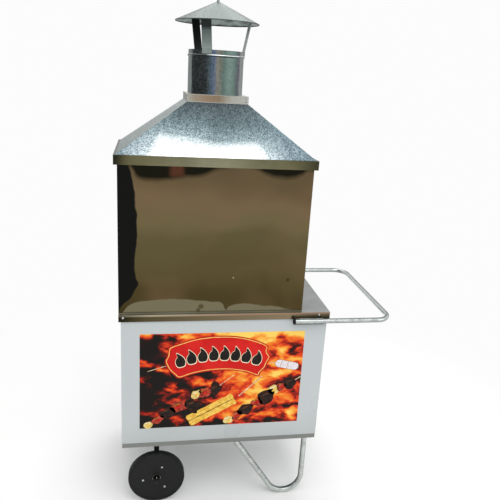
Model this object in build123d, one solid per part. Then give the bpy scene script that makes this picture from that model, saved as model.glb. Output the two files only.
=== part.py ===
"""Push cart for grilling, with a charcoal brazier under a smoke hood and a flue with a rain cap.

Every piece is modelled in millimetres from the worktop's front left corner: x runs along the
worktop to the pushing handle, y from the customer's side to the cook's side, z up from the floor.
At export everything moves so that the origin lies on the floor under the middle of the whole cart.
"""

import os
from math import acos, atan2, cos, hypot, radians, sin, tan

from build123d import *

# ---- Driving sizes ----------------------------------------------------------------------------
SHEET = 1.2  # folded steel sheet of cabinet, hood and worktop
HEAVY_SHEET = 2.0  # brazier sheet
THIN_SHEET = 1.0  # flue pipe and rain cap
SEAT = 0.3  # gap left where two pieces rest on each other without a bolt
RUNNING = 0.05  # radial clearance of a turning fit
HOLE_GAP = 0.1  # radial clearance of a screw, bolt or rivet in its hole

WORKTOP_LENGTH = 800.0
WORKTOP_DEPTH = 562.0
WORKTOP_HEIGHT = 838.0  # top face above the floor
WORKTOP_BAND = 27.0  # height of the folded edge band

SIDE_OVERHANG = 8.0  # worktop beyond the cabinet's ends
FACE_OVERHANG = 6.0  # worktop beyond the cabinet's front and rear faces
CABINET_FLOOR = 289.0  # underside of the cabinet
FOLD = 15.0  # return flange of a folded panel
REAR_FLANGE = 25.0  # side panel's flange on the cook's side

RAIL = 20.0  # square tube of the base frame
RAIL_WALL = 1.5
RAIL_SETBACK = 1.0  # base frame inside the cabinet's outline

GRAPHIC_LEFT = 76.0
GRAPHIC_LENGTH = 632.0
GRAPHIC_HEIGHT = 404.0
GRAPHIC_BOTTOM = 354.0
GRAPHIC_SHEET = 0.4

HOOD_LENGTH = 690.0
HOOD_DEPTH = 408.0
HOOD_SETBACK = 15.0  # from the worktop's front edge
EAVE_BOTTOM = 1384.6
EAVE_BAND = 32.8  # height of the band round the hood
EAVE_OVERHANG = 12.0
EAVE_FLANGE = 26.0
LINTEL_HEIGHT = 110.0
ROOF_INSET = 8.0  # roof's foot inside the band's outer face

COLLAR = 218.0  # square collar at the roof's top
COLLAR_BOTTOM = 1595.0
COLLAR_HEIGHT = 27.0
FLUE_RADIUS = 100.0
FLUE_TOP = 1772.0
BEAD_DROP = 19.0  # rolled bead below the pipe's top
BEAD_RISE = 3.0

CAP_RADIUS = 150.0
CAP_RIM = 1868.0
CAP_RISE = 70.0
CAP_LIP = 3.0
STRAP_WIDTH = 36.0
STRAP_SHEET = 2.0
STRAP_TAB = 16.0  # tab welded under the cap
STRAP_TOP_RADIUS = 122.0
STRAP_ANGLES = (245.0, 125.0, 5.0)  # front, left and right
STRAP_RIVET_RISE = 7.0  # above a strap's lower end
FINIAL_RADIUS = 5.0
FINIAL_HEIGHT = 10.0

WHEEL_X = 143.6
WHEEL_RADIUS = 112.5
WHEEL_WIDTH = 28.0
WHEEL_FACE = 15.5  # wheel's outer face behind the worktop's front edge
TYRE_DEPTH = 11.5
WEB = 5.0
RIM = 9.0
HUB_FLANGE_RADIUS = 68.0
HUB_FLANGE = 3.0
HUB_RADIUS = 16.0
BUSH_RADIUS = 12.0
BOLT_CIRCLE = 54.5
BOLT_RADIUS = 2.5
BOLT_HEAD = 8.0  # across the flats
BOLT_PHASE = 67.0
AXLE_RADIUS = 8.0
HANGER_THICKNESS = 6.0
HANGER_FACE = 50.0  # hanger's outer face behind the worktop's front edge

LEG_RADIUS = 11.1
LEG_WALL = 1.5
LEG_BEND = 75.0
LEG_LEFT = 460.7
LEG_RIGHT = 750.0

HANDLE_RADIUS = 9.525
HANDLE_WALL = 1.2
HANDLE_BEND = 60.0
HANDLE_REACH = 252.0  # worktop's end to the grip bar's middle
HANDLE_DROP = 31.0  # handle's middle below the worktop's top
SLEEVE_RADIUS = 12.7
SLEEVE_BORE = 10.05
SLEEVE_LEFT = 660.0
SLEEVE_LENGTH = 110.0
SLEEVE_RECESS = 8.0  # handle's end inside the sleeve's open end

BRAZIER_LEFT = 72.0
BRAZIER_FRONT = 62.0
BRAZIER_LENGTH = 546.0
BRAZIER_DEPTH = 336.0
BRAZIER_DROP = 122.0  # below the worktop's top
BRAZIER_FLANGE = 15.0
CUTOUT_GAP = 2.0  # worktop's cut-out round the brazier
ASH_SLOT = 40.0
COAL_BAR = 4.0
COAL_PITCH = 30.0
COAL_SEAT = 15.0  # coal grate's ledge above the brazier's bottom
GRILL_ROD = 4.0
GRILL_WIRE = 2.5
GRILL_PITCH = 20.0
GRILL_MARGIN = 10.0  # grill beyond the brazier's mouth
GRILL_GRIP_RISE = 34.0
GRILL_GRIP_SPAN = 110.0

DRAWER_BOTTOM = 640.0
DRAWER_BOX = 55.0
DRAWER_FRONT_BOTTOM = 632.0
DRAWER_FRONT_HEIGHT = 80.0
DRAWER_DEPTH = 480.0
DRAWER_SIDE = 40.0  # drawer's box inside the worktop's ends
RUNNER_WIDTH = 46.0
RUNNER_HEIGHT = 30.0

MID_RAIL_BOTTOM = 610.0
MID_RAIL_HEIGHT = 18.0
BOTTOM_RAIL_HEIGHT = 12.0
PANEL_GAP = 3.0  # round doors and drawer front
VENT_SLOTS = 9
VENT_LENGTH = 46.0
VENT_WIDTH = 8.0
HINGE_OFFSET = 4.6  # hinge pin's middle outside the door's face
HINGE_HEIGHT = 60.0
KNUCKLE_RADIUS = 4.5
PIN_RADIUS = 2.5
LEAF = 1.5
LEAF_WIDTH = 20.0
KNOB_RADIUS = 13.0

SCREW_HEIGHT = 10.0  # worktop screws below the top face
SCREW_LEFT = 16.4
SCREW_RIGHT = 756.5
RIVET_RADIUS = 1.3

# ---- Places worked out from them --------------------------------------------------------------
CABINET_LEFT = SIDE_OVERHANG
CABINET_RIGHT = WORKTOP_LENGTH - SIDE_OVERHANG
CABINET_FRONT = FACE_OVERHANG
CABINET_REAR = WORKTOP_DEPTH - FACE_OVERHANG
CABINET_TOP = WORKTOP_HEIGHT - SHEET
BAND_BOTTOM = WORKTOP_HEIGHT - WORKTOP_BAND
RAIL_BOTTOM = CABINET_FLOOR - RAIL
RAIL_LEFT = CABINET_LEFT + RAIL_SETBACK
RAIL_RIGHT = CABINET_RIGHT - RAIL_SETBACK
RAIL_FRONT = CABINET_FRONT + RAIL_SETBACK
RAIL_REAR = CABINET_REAR - RAIL_SETBACK
HOOD_REAR = HOOD_SETBACK + HOOD_DEPTH
HOOD_MIDDLE = (HOOD_LENGTH / 2, HOOD_SETBACK + HOOD_DEPTH / 2)
EAVE_TOP = EAVE_BOTTOM + EAVE_BAND
HOOD_TOP = EAVE_TOP - SHEET
COLLAR_TOP = COLLAR_BOTTOM + COLLAR_HEIGHT
BEAD_HEIGHT = FLUE_TOP - BEAD_DROP
STRAP_BOTTOM = BEAD_HEIGHT + 1.6 * BEAD_RISE + SEAT
ROOF_TOP = COLLAR_BOTTOM - SEAT
SLEEVE_FRONT = -SLEEVE_RADIUS - SEAT
SLEEVE_REAR = WORKTOP_DEPTH + SLEEVE_RADIUS + SEAT
HANDLE_HEIGHT = WORKTOP_HEIGHT - HANDLE_DROP
GRIP_X = WORKTOP_LENGTH + HANDLE_REACH
BRAZIER_RIGHT = BRAZIER_LEFT + BRAZIER_LENGTH
BRAZIER_REAR = BRAZIER_FRONT + BRAZIER_DEPTH
BRAZIER_BOTTOM = WORKTOP_HEIGHT - BRAZIER_DROP
BRAZIER_RIM = WORKTOP_HEIGHT + HEAVY_SHEET
OPENING_LEFT = CABINET_LEFT + REAR_FLANGE
OPENING_RIGHT = CABINET_RIGHT - REAR_FLANGE
DOOR_TOP = MID_RAIL_BOTTOM - PANEL_GAP
DOOR_BOTTOM = CABINET_FLOOR + SHEET + BOTTOM_RAIL_HEIGHT + PANEL_GAP
DOOR_SPLIT = WORKTOP_LENGTH / 2
HINGE_X = OPENING_LEFT + PANEL_GAP / 2
HINGE_Y = CABINET_REAR + HINGE_OFFSET
MIRROR_DEPTH = Plane(origin=(0, WORKTOP_DEPTH / 2, 0), z_dir=(0, 1, 0))
MIRROR_LENGTH = Plane(origin=(WORKTOP_LENGTH / 2, 0, 0), z_dir=(1, 0, 0))
SPAN_LEFT = -EAVE_OVERHANG
SPAN_RIGHT = GRIP_X + HANDLE_RADIUS
ORIGIN = Pos(-(SPAN_LEFT + SPAN_RIGHT) / 2, -WORKTOP_DEPTH / 2, 0)


# ---- Shapes used throughout -------------------------------------------------------------------
def block(x0, x1, y0, y1, z0, z1):
    """A box between two corners."""
    middle = Pos((x0 + x1) / 2, (y0 + y1) / 2, (z0 + z1) / 2)
    return middle * Box(x1 - x0, y1 - y0, z1 - z0)


def rod_x(x0, x1, y, z, radius):
    return Pos((x0 + x1) / 2, y, z) * Rot(0, 90, 0) * Cylinder(radius, x1 - x0)


def rod_y(x, y0, y1, z, radius):
    return Pos(x, (y0 + y1) / 2, z) * Rot(90, 0, 0) * Cylinder(radius, y1 - y0)


def rod_z(x, y, z0, z1, radius):
    return Pos(x, y, (z0 + z1) / 2) * Cylinder(radius, z1 - z0)


def hex_y(x, y0, y1, z, across_flats):
    """A hexagonal bolt head or nut whose axis runs along y."""
    flat = RegularPolygon(across_flats / 2, 6, major_radius=False)
    return Pos(x, y0, z) * Rot(-90, 0, 0) * extrude(flat, y1 - y0)


def pan(x0, x1, y0, y1, z0, z1, open_side, sheet=SHEET):
    """A folded panel: a box of sheet with one side open, such as "+y"."""
    low = [x0 + sheet, y0 + sheet, z0 + sheet]
    high = [x1 - sheet, y1 - sheet, z1 - sheet]
    axis = "xyz".index(open_side[1])
    if open_side[0] == "+":
        high[axis] += 2 * sheet
    else:
        low[axis] -= 2 * sheet
    inside = block(low[0], high[0], low[1], high[1], low[2], high[2])
    return block(x0, x1, y0, y1, z0, z1) - inside


def square_tube_x(x0, x1, y, z):
    """Square tube along x whose middle lies at y, z."""
    half, bore = RAIL / 2, RAIL / 2 - RAIL_WALL
    tube = block(x0, x1, y - half, y + half, z - half, z + half)
    return tube - block(x0 - 1, x1 + 1, y - bore, y + bore, z - bore, z + bore)


def square_tube_y(x, y0, y1, z):
    """Square tube along y whose middle lies at x, z."""
    half, bore = RAIL / 2, RAIL / 2 - RAIL_WALL
    tube = block(x - half, x + half, y0, y1, z - half, z + half)
    return tube - block(x - bore, x + bore, y0 - 1, y1 + 1, z - bore, z + bore)


def bent_tube(points, bend, radius, wall):
    """Round tube along straight runs joined by bends of one radius."""
    path = FilletPolyline(*points, radius=bend)
    section = Plane(origin=path @ 0, z_dir=path % 0) * (Circle(radius) - Circle(radius - wall))
    return sweep(section, path=path)


def turned(points, axis):
    """A turned piece from its closed outline of 3-D points in a plane through the axis."""
    return revolve(make_face(Polyline(*points, close=True)), axis)


def plate_between(outer, inner):
    """A plate between two four-cornered faces whose corners match one by one."""
    faces = [Face(Wire.make_polygon(outer, close=True)), Face(Wire.make_polygon(inner, close=True))]
    for i in range(4):
        j = (i + 1) % 4
        faces.append(Face(Wire.make_polygon([outer[i], outer[j], inner[j], inner[i]], close=True)))
    return Solid(Shell(faces))


def rivet(place, length):
    """A domed rivet whose head sits on the local z = 0 plane and whose shank runs along -z."""
    head = Sphere(2 * RIVET_RADIUS) & Pos(0, 0, RIVET_RADIUS) * Box(20, 20, 2 * RIVET_RADIUS)
    head = scale(head, by=(1, 1, 0.5))
    shank = Pos(0, 0, -length / 2) * Cylinder(RIVET_RADIUS, length)
    return place * (head + shank)


def rivet_hole(place, length):
    return place * Cylinder(RIVET_RADIUS + HOLE_GAP, 2 * length)


# ---- Base frame, legs and axle ----------------------------------------------------------------
def base_rails():
    z = RAIL_BOTTOM + RAIL / 2
    front = square_tube_x(RAIL_LEFT, RAIL_RIGHT, RAIL_FRONT + RAIL / 2, z)
    ends = (RAIL_FRONT + RAIL, RAIL_REAR - RAIL)
    left = square_tube_y(RAIL_LEFT + RAIL / 2, *ends, z)
    right = square_tube_y(RAIL_RIGHT - RAIL / 2, *ends, z)
    return {
        "base_rails": [front, mirror(front, MIRROR_DEPTH), left, right],
        "axle_cross_tube": square_tube_y(WHEEL_X, *ends, z),
    }


def leg():
    """Bent leg under the front rail: a slanting run, a round foot and an upright run."""
    y = RAIL_FRONT + RAIL / 2
    across = LEG_RIGHT - LEG_BEND - LEG_LEFT
    down = LEG_RADIUS + LEG_BEND - RAIL_BOTTOM
    slant = acos(LEG_BEND / hypot(across, down)) + atan2(down, across)
    corner_z = RAIL_BOTTOM - (LEG_RIGHT - LEG_LEFT) / tan(slant)
    above = 2 * LEG_RADIUS
    start = (LEG_LEFT - above * tan(slant), y, RAIL_BOTTOM + above)
    end = (LEG_RIGHT, y, RAIL_BOTTOM + above)
    tube = bent_tube([start, (LEG_RIGHT, y, corner_z), end], LEG_BEND, LEG_RADIUS, LEG_WALL)
    top = RAIL_BOTTOM + 4 * above
    return tube - block(-WORKTOP_LENGTH, 2 * WORKTOP_LENGTH, y - 50, y + 50, RAIL_BOTTOM, top)


def axle_hanger():
    """Flat bar under the cross tube that carries the axle."""
    y0, y1 = HANGER_FACE, HANGER_FACE + HANGER_THICKNESS
    bar = block(WHEEL_X - RAIL / 2, WHEEL_X + RAIL / 2, y0, y1, WHEEL_RADIUS, RAIL_BOTTOM)
    eye = rod_y(WHEEL_X, y0, y1, WHEEL_RADIUS, 2 * AXLE_RADIUS)
    hole = rod_y(WHEEL_X, y0 - 1, y1 + 1, WHEEL_RADIUS, AXLE_RADIUS + RUNNING)
    return bar + eye - hole


def axle_pieces():
    """Axle, with the washers, nut and split pin that keep one wheel on it, front then rear."""
    hub_outer = WHEEL_FACE - 1.0
    washer_outer, washer = hub_outer - SEAT, 2.0
    nut_outer, nut = washer_outer - washer, 8.0
    end = nut_outer - nut - 10.0
    pin_y = end + 5.0
    hub_inner = WHEEL_FACE + WHEEL_WIDTH + 3.5
    pin_hole = rod_z(WHEEL_X, pin_y, 0, 2 * WHEEL_RADIUS, 1.5 + HOLE_GAP)
    axle = rod_y(WHEEL_X, end, WORKTOP_DEPTH - end, WHEEL_RADIUS, AXLE_RADIUS)
    axle = axle - pin_hole - mirror(pin_hole, MIRROR_DEPTH)
    bore = rod_y(WHEEL_X, end, HANGER_FACE, WHEEL_RADIUS, AXLE_RADIUS + HOLE_GAP)
    outer = rod_y(WHEEL_X, washer_outer - washer, washer_outer, WHEEL_RADIUS, 15.0) - bore
    inner = rod_y(WHEEL_X, hub_inner + SEAT, HANGER_FACE - SEAT, WHEEL_RADIUS, 15.0) - bore
    nut_solid = hex_y(WHEEL_X, nut_outer - nut, nut_outer - HOLE_GAP, WHEEL_RADIUS, 24.0) - bore
    reach = AXLE_RADIUS + 4.0
    pin = rod_z(WHEEL_X, pin_y, WHEEL_RADIUS - reach, WHEEL_RADIUS + reach, 1.5)
    eye = Pos(WHEEL_X, pin_y, WHEEL_RADIUS + reach + 2.0) * Rot(0, 90, 0) * Torus(3.0, 1.2)
    side = {"washers": [outer, inner], "nut": [nut_solid], "pin": [pin + eye]}
    both = {k: v + [mirror(s, MIRROR_DEPTH) for s in v] for k, v in side.items()}
    return {
        "axle": axle,
        "axle_nuts_and_washers": both["nut"] + both["washers"],
        "axle_split_pins": both["pin"],
    }


# ---- Wheels -----------------------------------------------------------------------------------
def wheel_pieces():
    """Front wheel: tyre, disc, bolted hub and bush, turned about the axle."""
    centre = Pos(WHEEL_X, 0, WHEEL_RADIUS)
    y0, y1 = WHEEL_FACE, WHEEL_FACE + WHEEL_WIDTH
    rim = WHEEL_RADIUS - TYRE_DEPTH
    tyre = turned([(rim, y0, 0), (WHEEL_RADIUS, y0, 0), (WHEEL_RADIUS, y1, 0), (rim, y1, 0)], Axis.Y)
    outer_edges = tyre.edges().filter_by(GeomType.CIRCLE).sort_by(SortBy.RADIUS)[-2:]
    tyre = fillet(outer_edges, TYRE_DEPTH / 3)

    face, back = y0 + 1.0, y1 - 1.0
    inner_rim = rim - RIM
    bore = HUB_RADIUS + HOLE_GAP
    disc = turned(
        [
            (bore, face, 0),
            (rim, face, 0),
            (rim, back, 0),
            (inner_rim, back, 0),
            (inner_rim, face + WEB, 0),
            (bore, face + WEB, 0),
        ],
        Axis.Y,
    )
    flange = (face + WEB, face + WEB + HUB_FLANGE)
    hub_end = y1 + 3.5
    hub_face = y0 - 1.0
    hub = turned(
        [
            (BUSH_RADIUS, hub_face, 0),
            (HUB_RADIUS, hub_face, 0),
            (HUB_RADIUS, flange[0], 0),
            (HUB_FLANGE_RADIUS, flange[0], 0),
            (HUB_FLANGE_RADIUS, flange[1], 0),
            (HUB_RADIUS, flange[1], 0),
            (HUB_RADIUS, hub_end, 0),
            (BUSH_RADIUS, hub_end, 0),
        ],
        Axis.Y,
    )
    axle_bore = AXLE_RADIUS + RUNNING
    bush = turned(
        [
            (axle_bore, hub_face, 0),
            (BUSH_RADIUS, hub_face, 0),
            (BUSH_RADIUS, hub_end, 0),
            (axle_bore, hub_end, 0),
        ],
        Axis.Y,
    )
    bolts = []
    for k in range(3):
        angle = radians(BOLT_PHASE + 120 * k)
        x, z = BOLT_CIRCLE * cos(angle), BOLT_CIRCLE * sin(angle)
        hole = rod_y(x, y0 - 1, hub_end, z, BOLT_RADIUS + HOLE_GAP)
        disc -= hole
        hub -= hole
        head_height = 0.45 * BOLT_HEAD
        head = hex_y(x, face - head_height, face, z, BOLT_HEAD)
        head = head & rod_y(x, face - head_height, face, z, 0.55 * BOLT_HEAD)
        shank = rod_y(x, face - 1, flange[1] + 7.0, z, BOLT_RADIUS)
        bolts.append(head + shank)
        bolts.append(hex_y(x, flange[1], flange[1] + 0.55 * BOLT_HEAD, z, BOLT_HEAD) - hole)
    return {
        "tyre": centre * tyre,
        "disc": centre * disc,
        "hub": centre * hub,
        "bush": centre * bush,
        "bolts": [centre * b for b in bolts],
    }


def wheels():
    front = wheel_pieces()
    nodes = {}
    for piece, shape in front.items():
        solids = shape if isinstance(shape, list) else [shape]
        nodes["front_wheel_" + piece] = solids
        nodes["rear_wheel_" + piece] = [mirror(s, MIRROR_DEPTH) for s in solids]
    return nodes


# ---- Cabinet ----------------------------------------------------------------------------------
def worktop_screw_places():
    z = WORKTOP_HEIGHT - SCREW_HEIGHT
    return [(SCREW_LEFT, z), (SCREW_RIGHT, z)]


def worktop_screw_holes():
    holes = [rod_y(x, -5, 4 * FACE_OVERHANG, z, 2.0 + HOLE_GAP) for x, z in worktop_screw_places()]
    return holes + [mirror(h, MIRROR_DEPTH) for h in holes]


def worktop_screws():
    """Pan-head screws through the band into the cabinet, front then rear."""
    screws = []
    for x, z in worktop_screw_places():
        head = Pos(x, 0, z) * Rot(90, 0, 0) * Cylinder(4.2, 2.4, align=(Align.CENTER, Align.CENTER, Align.MIN))
        top = head.faces().sort_by(Axis.Y)[0]
        head = fillet(top.edges(), 1.6)
        screws.append(head + rod_y(x, -0.5, FACE_OVERHANG + 5.0, z, 2.0))
    return screws + [mirror(s, MIRROR_DEPTH) for s in screws]


def worktop():
    """Folded worktop with its edge band and the brazier's cut-out."""
    top = pan(0, WORKTOP_LENGTH, 0, WORKTOP_DEPTH, BAND_BOTTOM, WORKTOP_HEIGHT, "-z")
    cutout = block(
        BRAZIER_LEFT - CUTOUT_GAP,
        BRAZIER_RIGHT + CUTOUT_GAP,
        BRAZIER_FRONT - CUTOUT_GAP,
        BRAZIER_REAR + CUTOUT_GAP,
        CABINET_TOP - 5,
        WORKTOP_HEIGHT + 5,
    )
    top -= cutout
    for hole in worktop_screw_holes():
        top -= hole
    return top


def cabinet_front():
    y1 = CABINET_FRONT + FOLD
    panel = pan(CABINET_LEFT, CABINET_RIGHT, CABINET_FRONT, y1, CABINET_FLOOR, CABINET_TOP, "+y")
    for hole in worktop_screw_holes()[:2]:
        panel -= hole
    return panel


def cabinet_side():
    """Left side panel, folded in at its top, bottom and rear."""
    x0, y0, y1 = CABINET_LEFT, CABINET_FRONT + FOLD, CABINET_REAR
    z0, z1 = CABINET_FLOOR, CABINET_TOP
    panel = block(x0, x0 + SHEET, y0, y1, z0, z1)
    panel += block(x0, x0 + FOLD, y0, y1, z0, z0 + SHEET)
    panel += block(x0, x0 + FOLD, y0, y1, z1 - SHEET, z1)
    panel += block(x0, x0 + REAR_FLANGE, y1 - SHEET, y1, z0, z1)
    return panel


def cabinet_sides():
    left = cabinet_side()
    right = mirror(left, MIRROR_LENGTH)
    for hole in worktop_screw_holes()[2:]:
        left -= hole
        right -= hole
    return {"cabinet_left_panel": left, "cabinet_right_panel": right}


def cabinet_floor():
    z = CABINET_FLOOR + SHEET
    inner = SHEET + SEAT
    return block(
        CABINET_LEFT + inner,
        CABINET_RIGHT - inner,
        CABINET_FRONT + inner,
        CABINET_REAR - inner,
        z,
        z + SHEET,
    )


def rear_panels():
    """Fixed panels between the side flanges on the cook's side."""
    y0, y1 = CABINET_REAR - FOLD, CABINET_REAR
    vent_bottom = DRAWER_FRONT_BOTTOM + DRAWER_FRONT_HEIGHT + PANEL_GAP
    top = pan(OPENING_LEFT, OPENING_RIGHT, y0, y1, vent_bottom, CABINET_TOP, "-y")
    vent_z = (vent_bottom + BAND_BOTTOM) / 2
    pitch = BRAZIER_LENGTH / VENT_SLOTS
    for k in range(VENT_SLOTS):
        x = BRAZIER_LEFT + pitch * (k + 0.5)
        slot = extrude(SlotOverall(VENT_LENGTH, VENT_WIDTH), 4 * FOLD, both=True)
        top -= Pos(x, y1, vent_z) * Rot(90, 0, 0) * slot
    for hole in worktop_screw_holes()[2:]:
        top -= hole
    mid_top = MID_RAIL_BOTTOM + MID_RAIL_HEIGHT
    middle = pan(OPENING_LEFT, OPENING_RIGHT, y0, y1, MID_RAIL_BOTTOM, mid_top, "-y")
    foot = CABINET_FLOOR + 2 * SHEET
    bottom_top = CABINET_FLOOR + SHEET + BOTTOM_RAIL_HEIGHT
    bottom = pan(OPENING_LEFT, OPENING_RIGHT, y0, y1 - SHEET - SEAT, foot, bottom_top, "-y")
    return {"rear_vent_panel": top, "rear_cross_rails": [middle, bottom]}


def graphic():
    y1 = CABINET_FRONT
    x1, z1 = GRAPHIC_LEFT + GRAPHIC_LENGTH, GRAPHIC_BOTTOM + GRAPHIC_HEIGHT
    return block(GRAPHIC_LEFT, x1, y1 - GRAPHIC_SHEET, y1, GRAPHIC_BOTTOM, z1)


# ---- Doors and drawer on the cook's side ------------------------------------------------------
def hinge_heights():
    inset = 1.1 * HINGE_HEIGHT
    return [DOOR_BOTTOM + inset, DOOR_TOP - inset]


def knuckle(z0, z1, bore):
    return rod_z(HINGE_X, HINGE_Y, z0, z1, KNUCKLE_RADIUS) - rod_z(HINGE_X, HINGE_Y, z0, z1, bore)


def left_hinges():
    """Fixed leaves, pins and door leaves of the left door's two hinges."""
    fixed, pins, moving = [], [], []
    y0, y1 = CABINET_REAR, CABINET_REAR + LEAF
    for z in hinge_heights():
        z0, z1 = z - HINGE_HEIGHT / 2, z + HINGE_HEIGHT / 2
        third = HINGE_HEIGHT / 3
        ends = [(z0, z0 + third - SEAT), (z1 - third + SEAT, z1)]
        edge = KNUCKLE_RADIUS + 2 * SEAT
        leaf = block(HINGE_X - LEAF_WIDTH, HINGE_X - edge, y0, y1, z0, z1)
        for a, b in ends:
            web = block(HINGE_X - edge - 1, HINGE_X, y0, y1, a, b)
            leaf += knuckle(a, b, PIN_RADIUS) + web
        fixed.append(leaf)
        pins.append(rod_z(HINGE_X, HINGE_Y, z0, z1, PIN_RADIUS) + rod_z(HINGE_X, HINGE_Y, z1, z1 + 1.5, 3.5))
        a, b = z0 + third, z1 - third
        door_leaf = block(HINGE_X + edge, HINGE_X + LEAF_WIDTH, y0, y1, z0, z1)
        web = block(HINGE_X, HINGE_X + edge + 1, y0, y1, a, b)
        moving.append(door_leaf + web + knuckle(a, b, PIN_RADIUS + RUNNING))
    return fixed, pins, moving


def left_door():
    x0, x1 = OPENING_LEFT + PANEL_GAP, DOOR_SPLIT - PANEL_GAP / 2
    return pan(x0, x1, CABINET_REAR - FOLD, CABINET_REAR, DOOR_BOTTOM, DOOR_TOP, "-y")


def knob(x, z):
    """A turned knob that stands out of the rear face."""
    stem, height = 5.0, 22.0
    outline = [
        (0, 0, 0),
        (stem, 0, 0),
        (stem, height * 0.45, 0),
        (KNOB_RADIUS * 0.9, height * 0.6, 0),
        (KNOB_RADIUS, height * 0.8, 0),
        (KNOB_RADIUS * 0.7, height, 0),
        (0, height, 0),
    ]
    return Pos(x, CABINET_REAR, z) * turned(outline, Axis.Y)


def doors():
    fixed, pins, moving = left_hinges()
    door = left_door()
    pull = knob(DOOR_SPLIT - 3 * KNOB_RADIUS, (DOOR_BOTTOM + DOOR_TOP) / 2 + 60)

    def other(solids):
        return [mirror(s, MIRROR_LENGTH) for s in solids]

    return {
        "left_door": door,
        "right_door": mirror(door, MIRROR_LENGTH),
        "left_door_knob": pull,
        "right_door_knob": mirror(pull, MIRROR_LENGTH),
        "hinge_fixed_leaves": fixed + other(fixed),
        "hinge_pins": pins + other(pins),
        "left_door_leaves": moving,
        "right_door_leaves": other(moving),
    }


def welded_tray(x0, x1, y0, y1, z0, z1, sheet):
    """Open tray of five plates welded edge to face: bottom, front, rear, left and right."""
    return [
        block(x0, x1, y0, y1, z0, z0 + sheet),
        block(x0, x1, y0, y0 + sheet, z0 + sheet, z1),
        block(x0, x1, y1 - sheet, y1, z0 + sheet, z1),
        block(x0, x0 + sheet, y0 + sheet, y1 - sheet, z0 + sheet, z1),
        block(x1 - sheet, x1, y0 + sheet, y1 - sheet, z0 + sheet, z1),
    ]


def drawer_pieces():
    """Ash drawer: box, front and a bent pull, with the two runners that carry the box."""
    x0, x1 = DRAWER_SIDE, WORKTOP_LENGTH - DRAWER_SIDE
    y1 = CABINET_REAR - FOLD
    y0 = y1 - DRAWER_DEPTH
    box = welded_tray(x0, x1, y0, CABINET_REAR - SHEET, DRAWER_BOTTOM, DRAWER_BOTTOM + DRAWER_BOX, SHEET)
    front_top = DRAWER_FRONT_BOTTOM + DRAWER_FRONT_HEIGHT
    fx0, fx1 = OPENING_LEFT + PANEL_GAP, OPENING_RIGHT - PANEL_GAP
    inside = CABINET_REAR - SHEET
    front = [block(fx0, fx1, inside, CABINET_REAR, DRAWER_FRONT_BOTTOM, front_top)]
    for z in (DRAWER_FRONT_BOTTOM, front_top - SHEET):
        front.append(block(fx0, fx1, y1, inside, z, z + SHEET))
    for x in (fx0, fx1 - SHEET):
        front.append(block(x, x + SHEET, y1, inside, DRAWER_FRONT_BOTTOM + SHEET, front_top - SHEET))
    half, out, radius = 70.0, 30.0, 5.0
    middle = WORKTOP_LENGTH / 2
    z = DRAWER_FRONT_BOTTOM + DRAWER_FRONT_HEIGHT / 2
    face = CABINET_REAR
    points = [
        (middle - half, face, z),
        (middle - half, face + out, z),
        (middle + half, face + out, z),
        (middle + half, face, z),
    ]
    path = FilletPolyline(*points, radius=3 * radius)
    pull = sweep(Plane(origin=path @ 0, z_dir=path % 0) * Circle(radius), path=path)

    inner = CABINET_LEFT + SHEET
    bottom = DRAWER_BOTTOM - SEAT - SHEET
    top = bottom + RUNNER_HEIGHT
    runner = block(inner, inner + SHEET, y0, y1, bottom, top)
    runner += block(inner, inner + RUNNER_WIDTH, y0, y1, bottom, bottom + SHEET)
    return {
        "ash_drawer": box,
        "drawer_front": front,
        "drawer_pull": pull,
        "drawer_runners": [runner, mirror(runner, MIRROR_LENGTH)],
    }


# ---- Brazier and grates -----------------------------------------------------------------------
def brazier():
    """Drop-in charcoal box with a flange on the worktop, ash slots and ledges for its grate."""
    x0, x1, y0, y1 = BRAZIER_LEFT, BRAZIER_RIGHT, BRAZIER_FRONT, BRAZIER_REAR
    bottom, *walls = welded_tray(x0, x1, y0, y1, BRAZIER_BOTTOM, BRAZIER_RIM, HEAVY_SHEET)
    for share in (0.2, 0.5, 0.8):
        y = y0 + share * BRAZIER_DEPTH
        bottom -= block(x0 + 30, x1 - 30, y - ASH_SLOT / 2, y + ASH_SLOT / 2, BRAZIER_BOTTOM - 1, BRAZIER_BOTTOM + 3)
    outer = BRAZIER_FLANGE
    brim = [
        block(x0 - outer, x1 + outer, y0 - outer, y0, WORKTOP_HEIGHT, BRAZIER_RIM),
        block(x0 - outer, x1 + outer, y1, y1 + outer, WORKTOP_HEIGHT, BRAZIER_RIM),
        block(x0 - outer, x0, y0, y1, WORKTOP_HEIGHT, BRAZIER_RIM),
        block(x1, x1 + outer, y0, y1, WORKTOP_HEIGHT, BRAZIER_RIM),
    ]
    ledge_top = BRAZIER_BOTTOM + COAL_SEAT
    ledges = [
        block(a, b, y - 8, y + 8, ledge_top - 3, ledge_top)
        for y in coal_bar_lines()
        for a, b in ((x0 + HEAVY_SHEET, x0 + 12), (x1 - 12, x1 - HEAVY_SHEET))
    ]
    return [bottom, *walls, *brim, *ledges]


def coal_bar_lines():
    return [BRAZIER_FRONT + 0.2 * BRAZIER_DEPTH, BRAZIER_REAR - 0.2 * BRAZIER_DEPTH]


def coal_grate():
    """Round bars welded across two long bars."""
    z = BRAZIER_BOTTOM + COAL_SEAT + SEAT + COAL_BAR
    inset = HEAVY_SHEET + 2.0
    grate = None
    for y in coal_bar_lines():
        bar = rod_x(BRAZIER_LEFT + inset, BRAZIER_RIGHT - inset, y, z, COAL_BAR)
        grate = bar if grate is None else grate + bar
    count = int((BRAZIER_LENGTH - 2 * COAL_PITCH) // COAL_PITCH)
    first = (BRAZIER_LEFT + BRAZIER_RIGHT) / 2 - COAL_PITCH * count / 2
    for k in range(count + 1):
        x = first + k * COAL_PITCH
        grate += rod_y(x, BRAZIER_FRONT + inset, BRAZIER_REAR - inset, z + 1.6 * COAL_BAR, COAL_BAR)
    return grate


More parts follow.
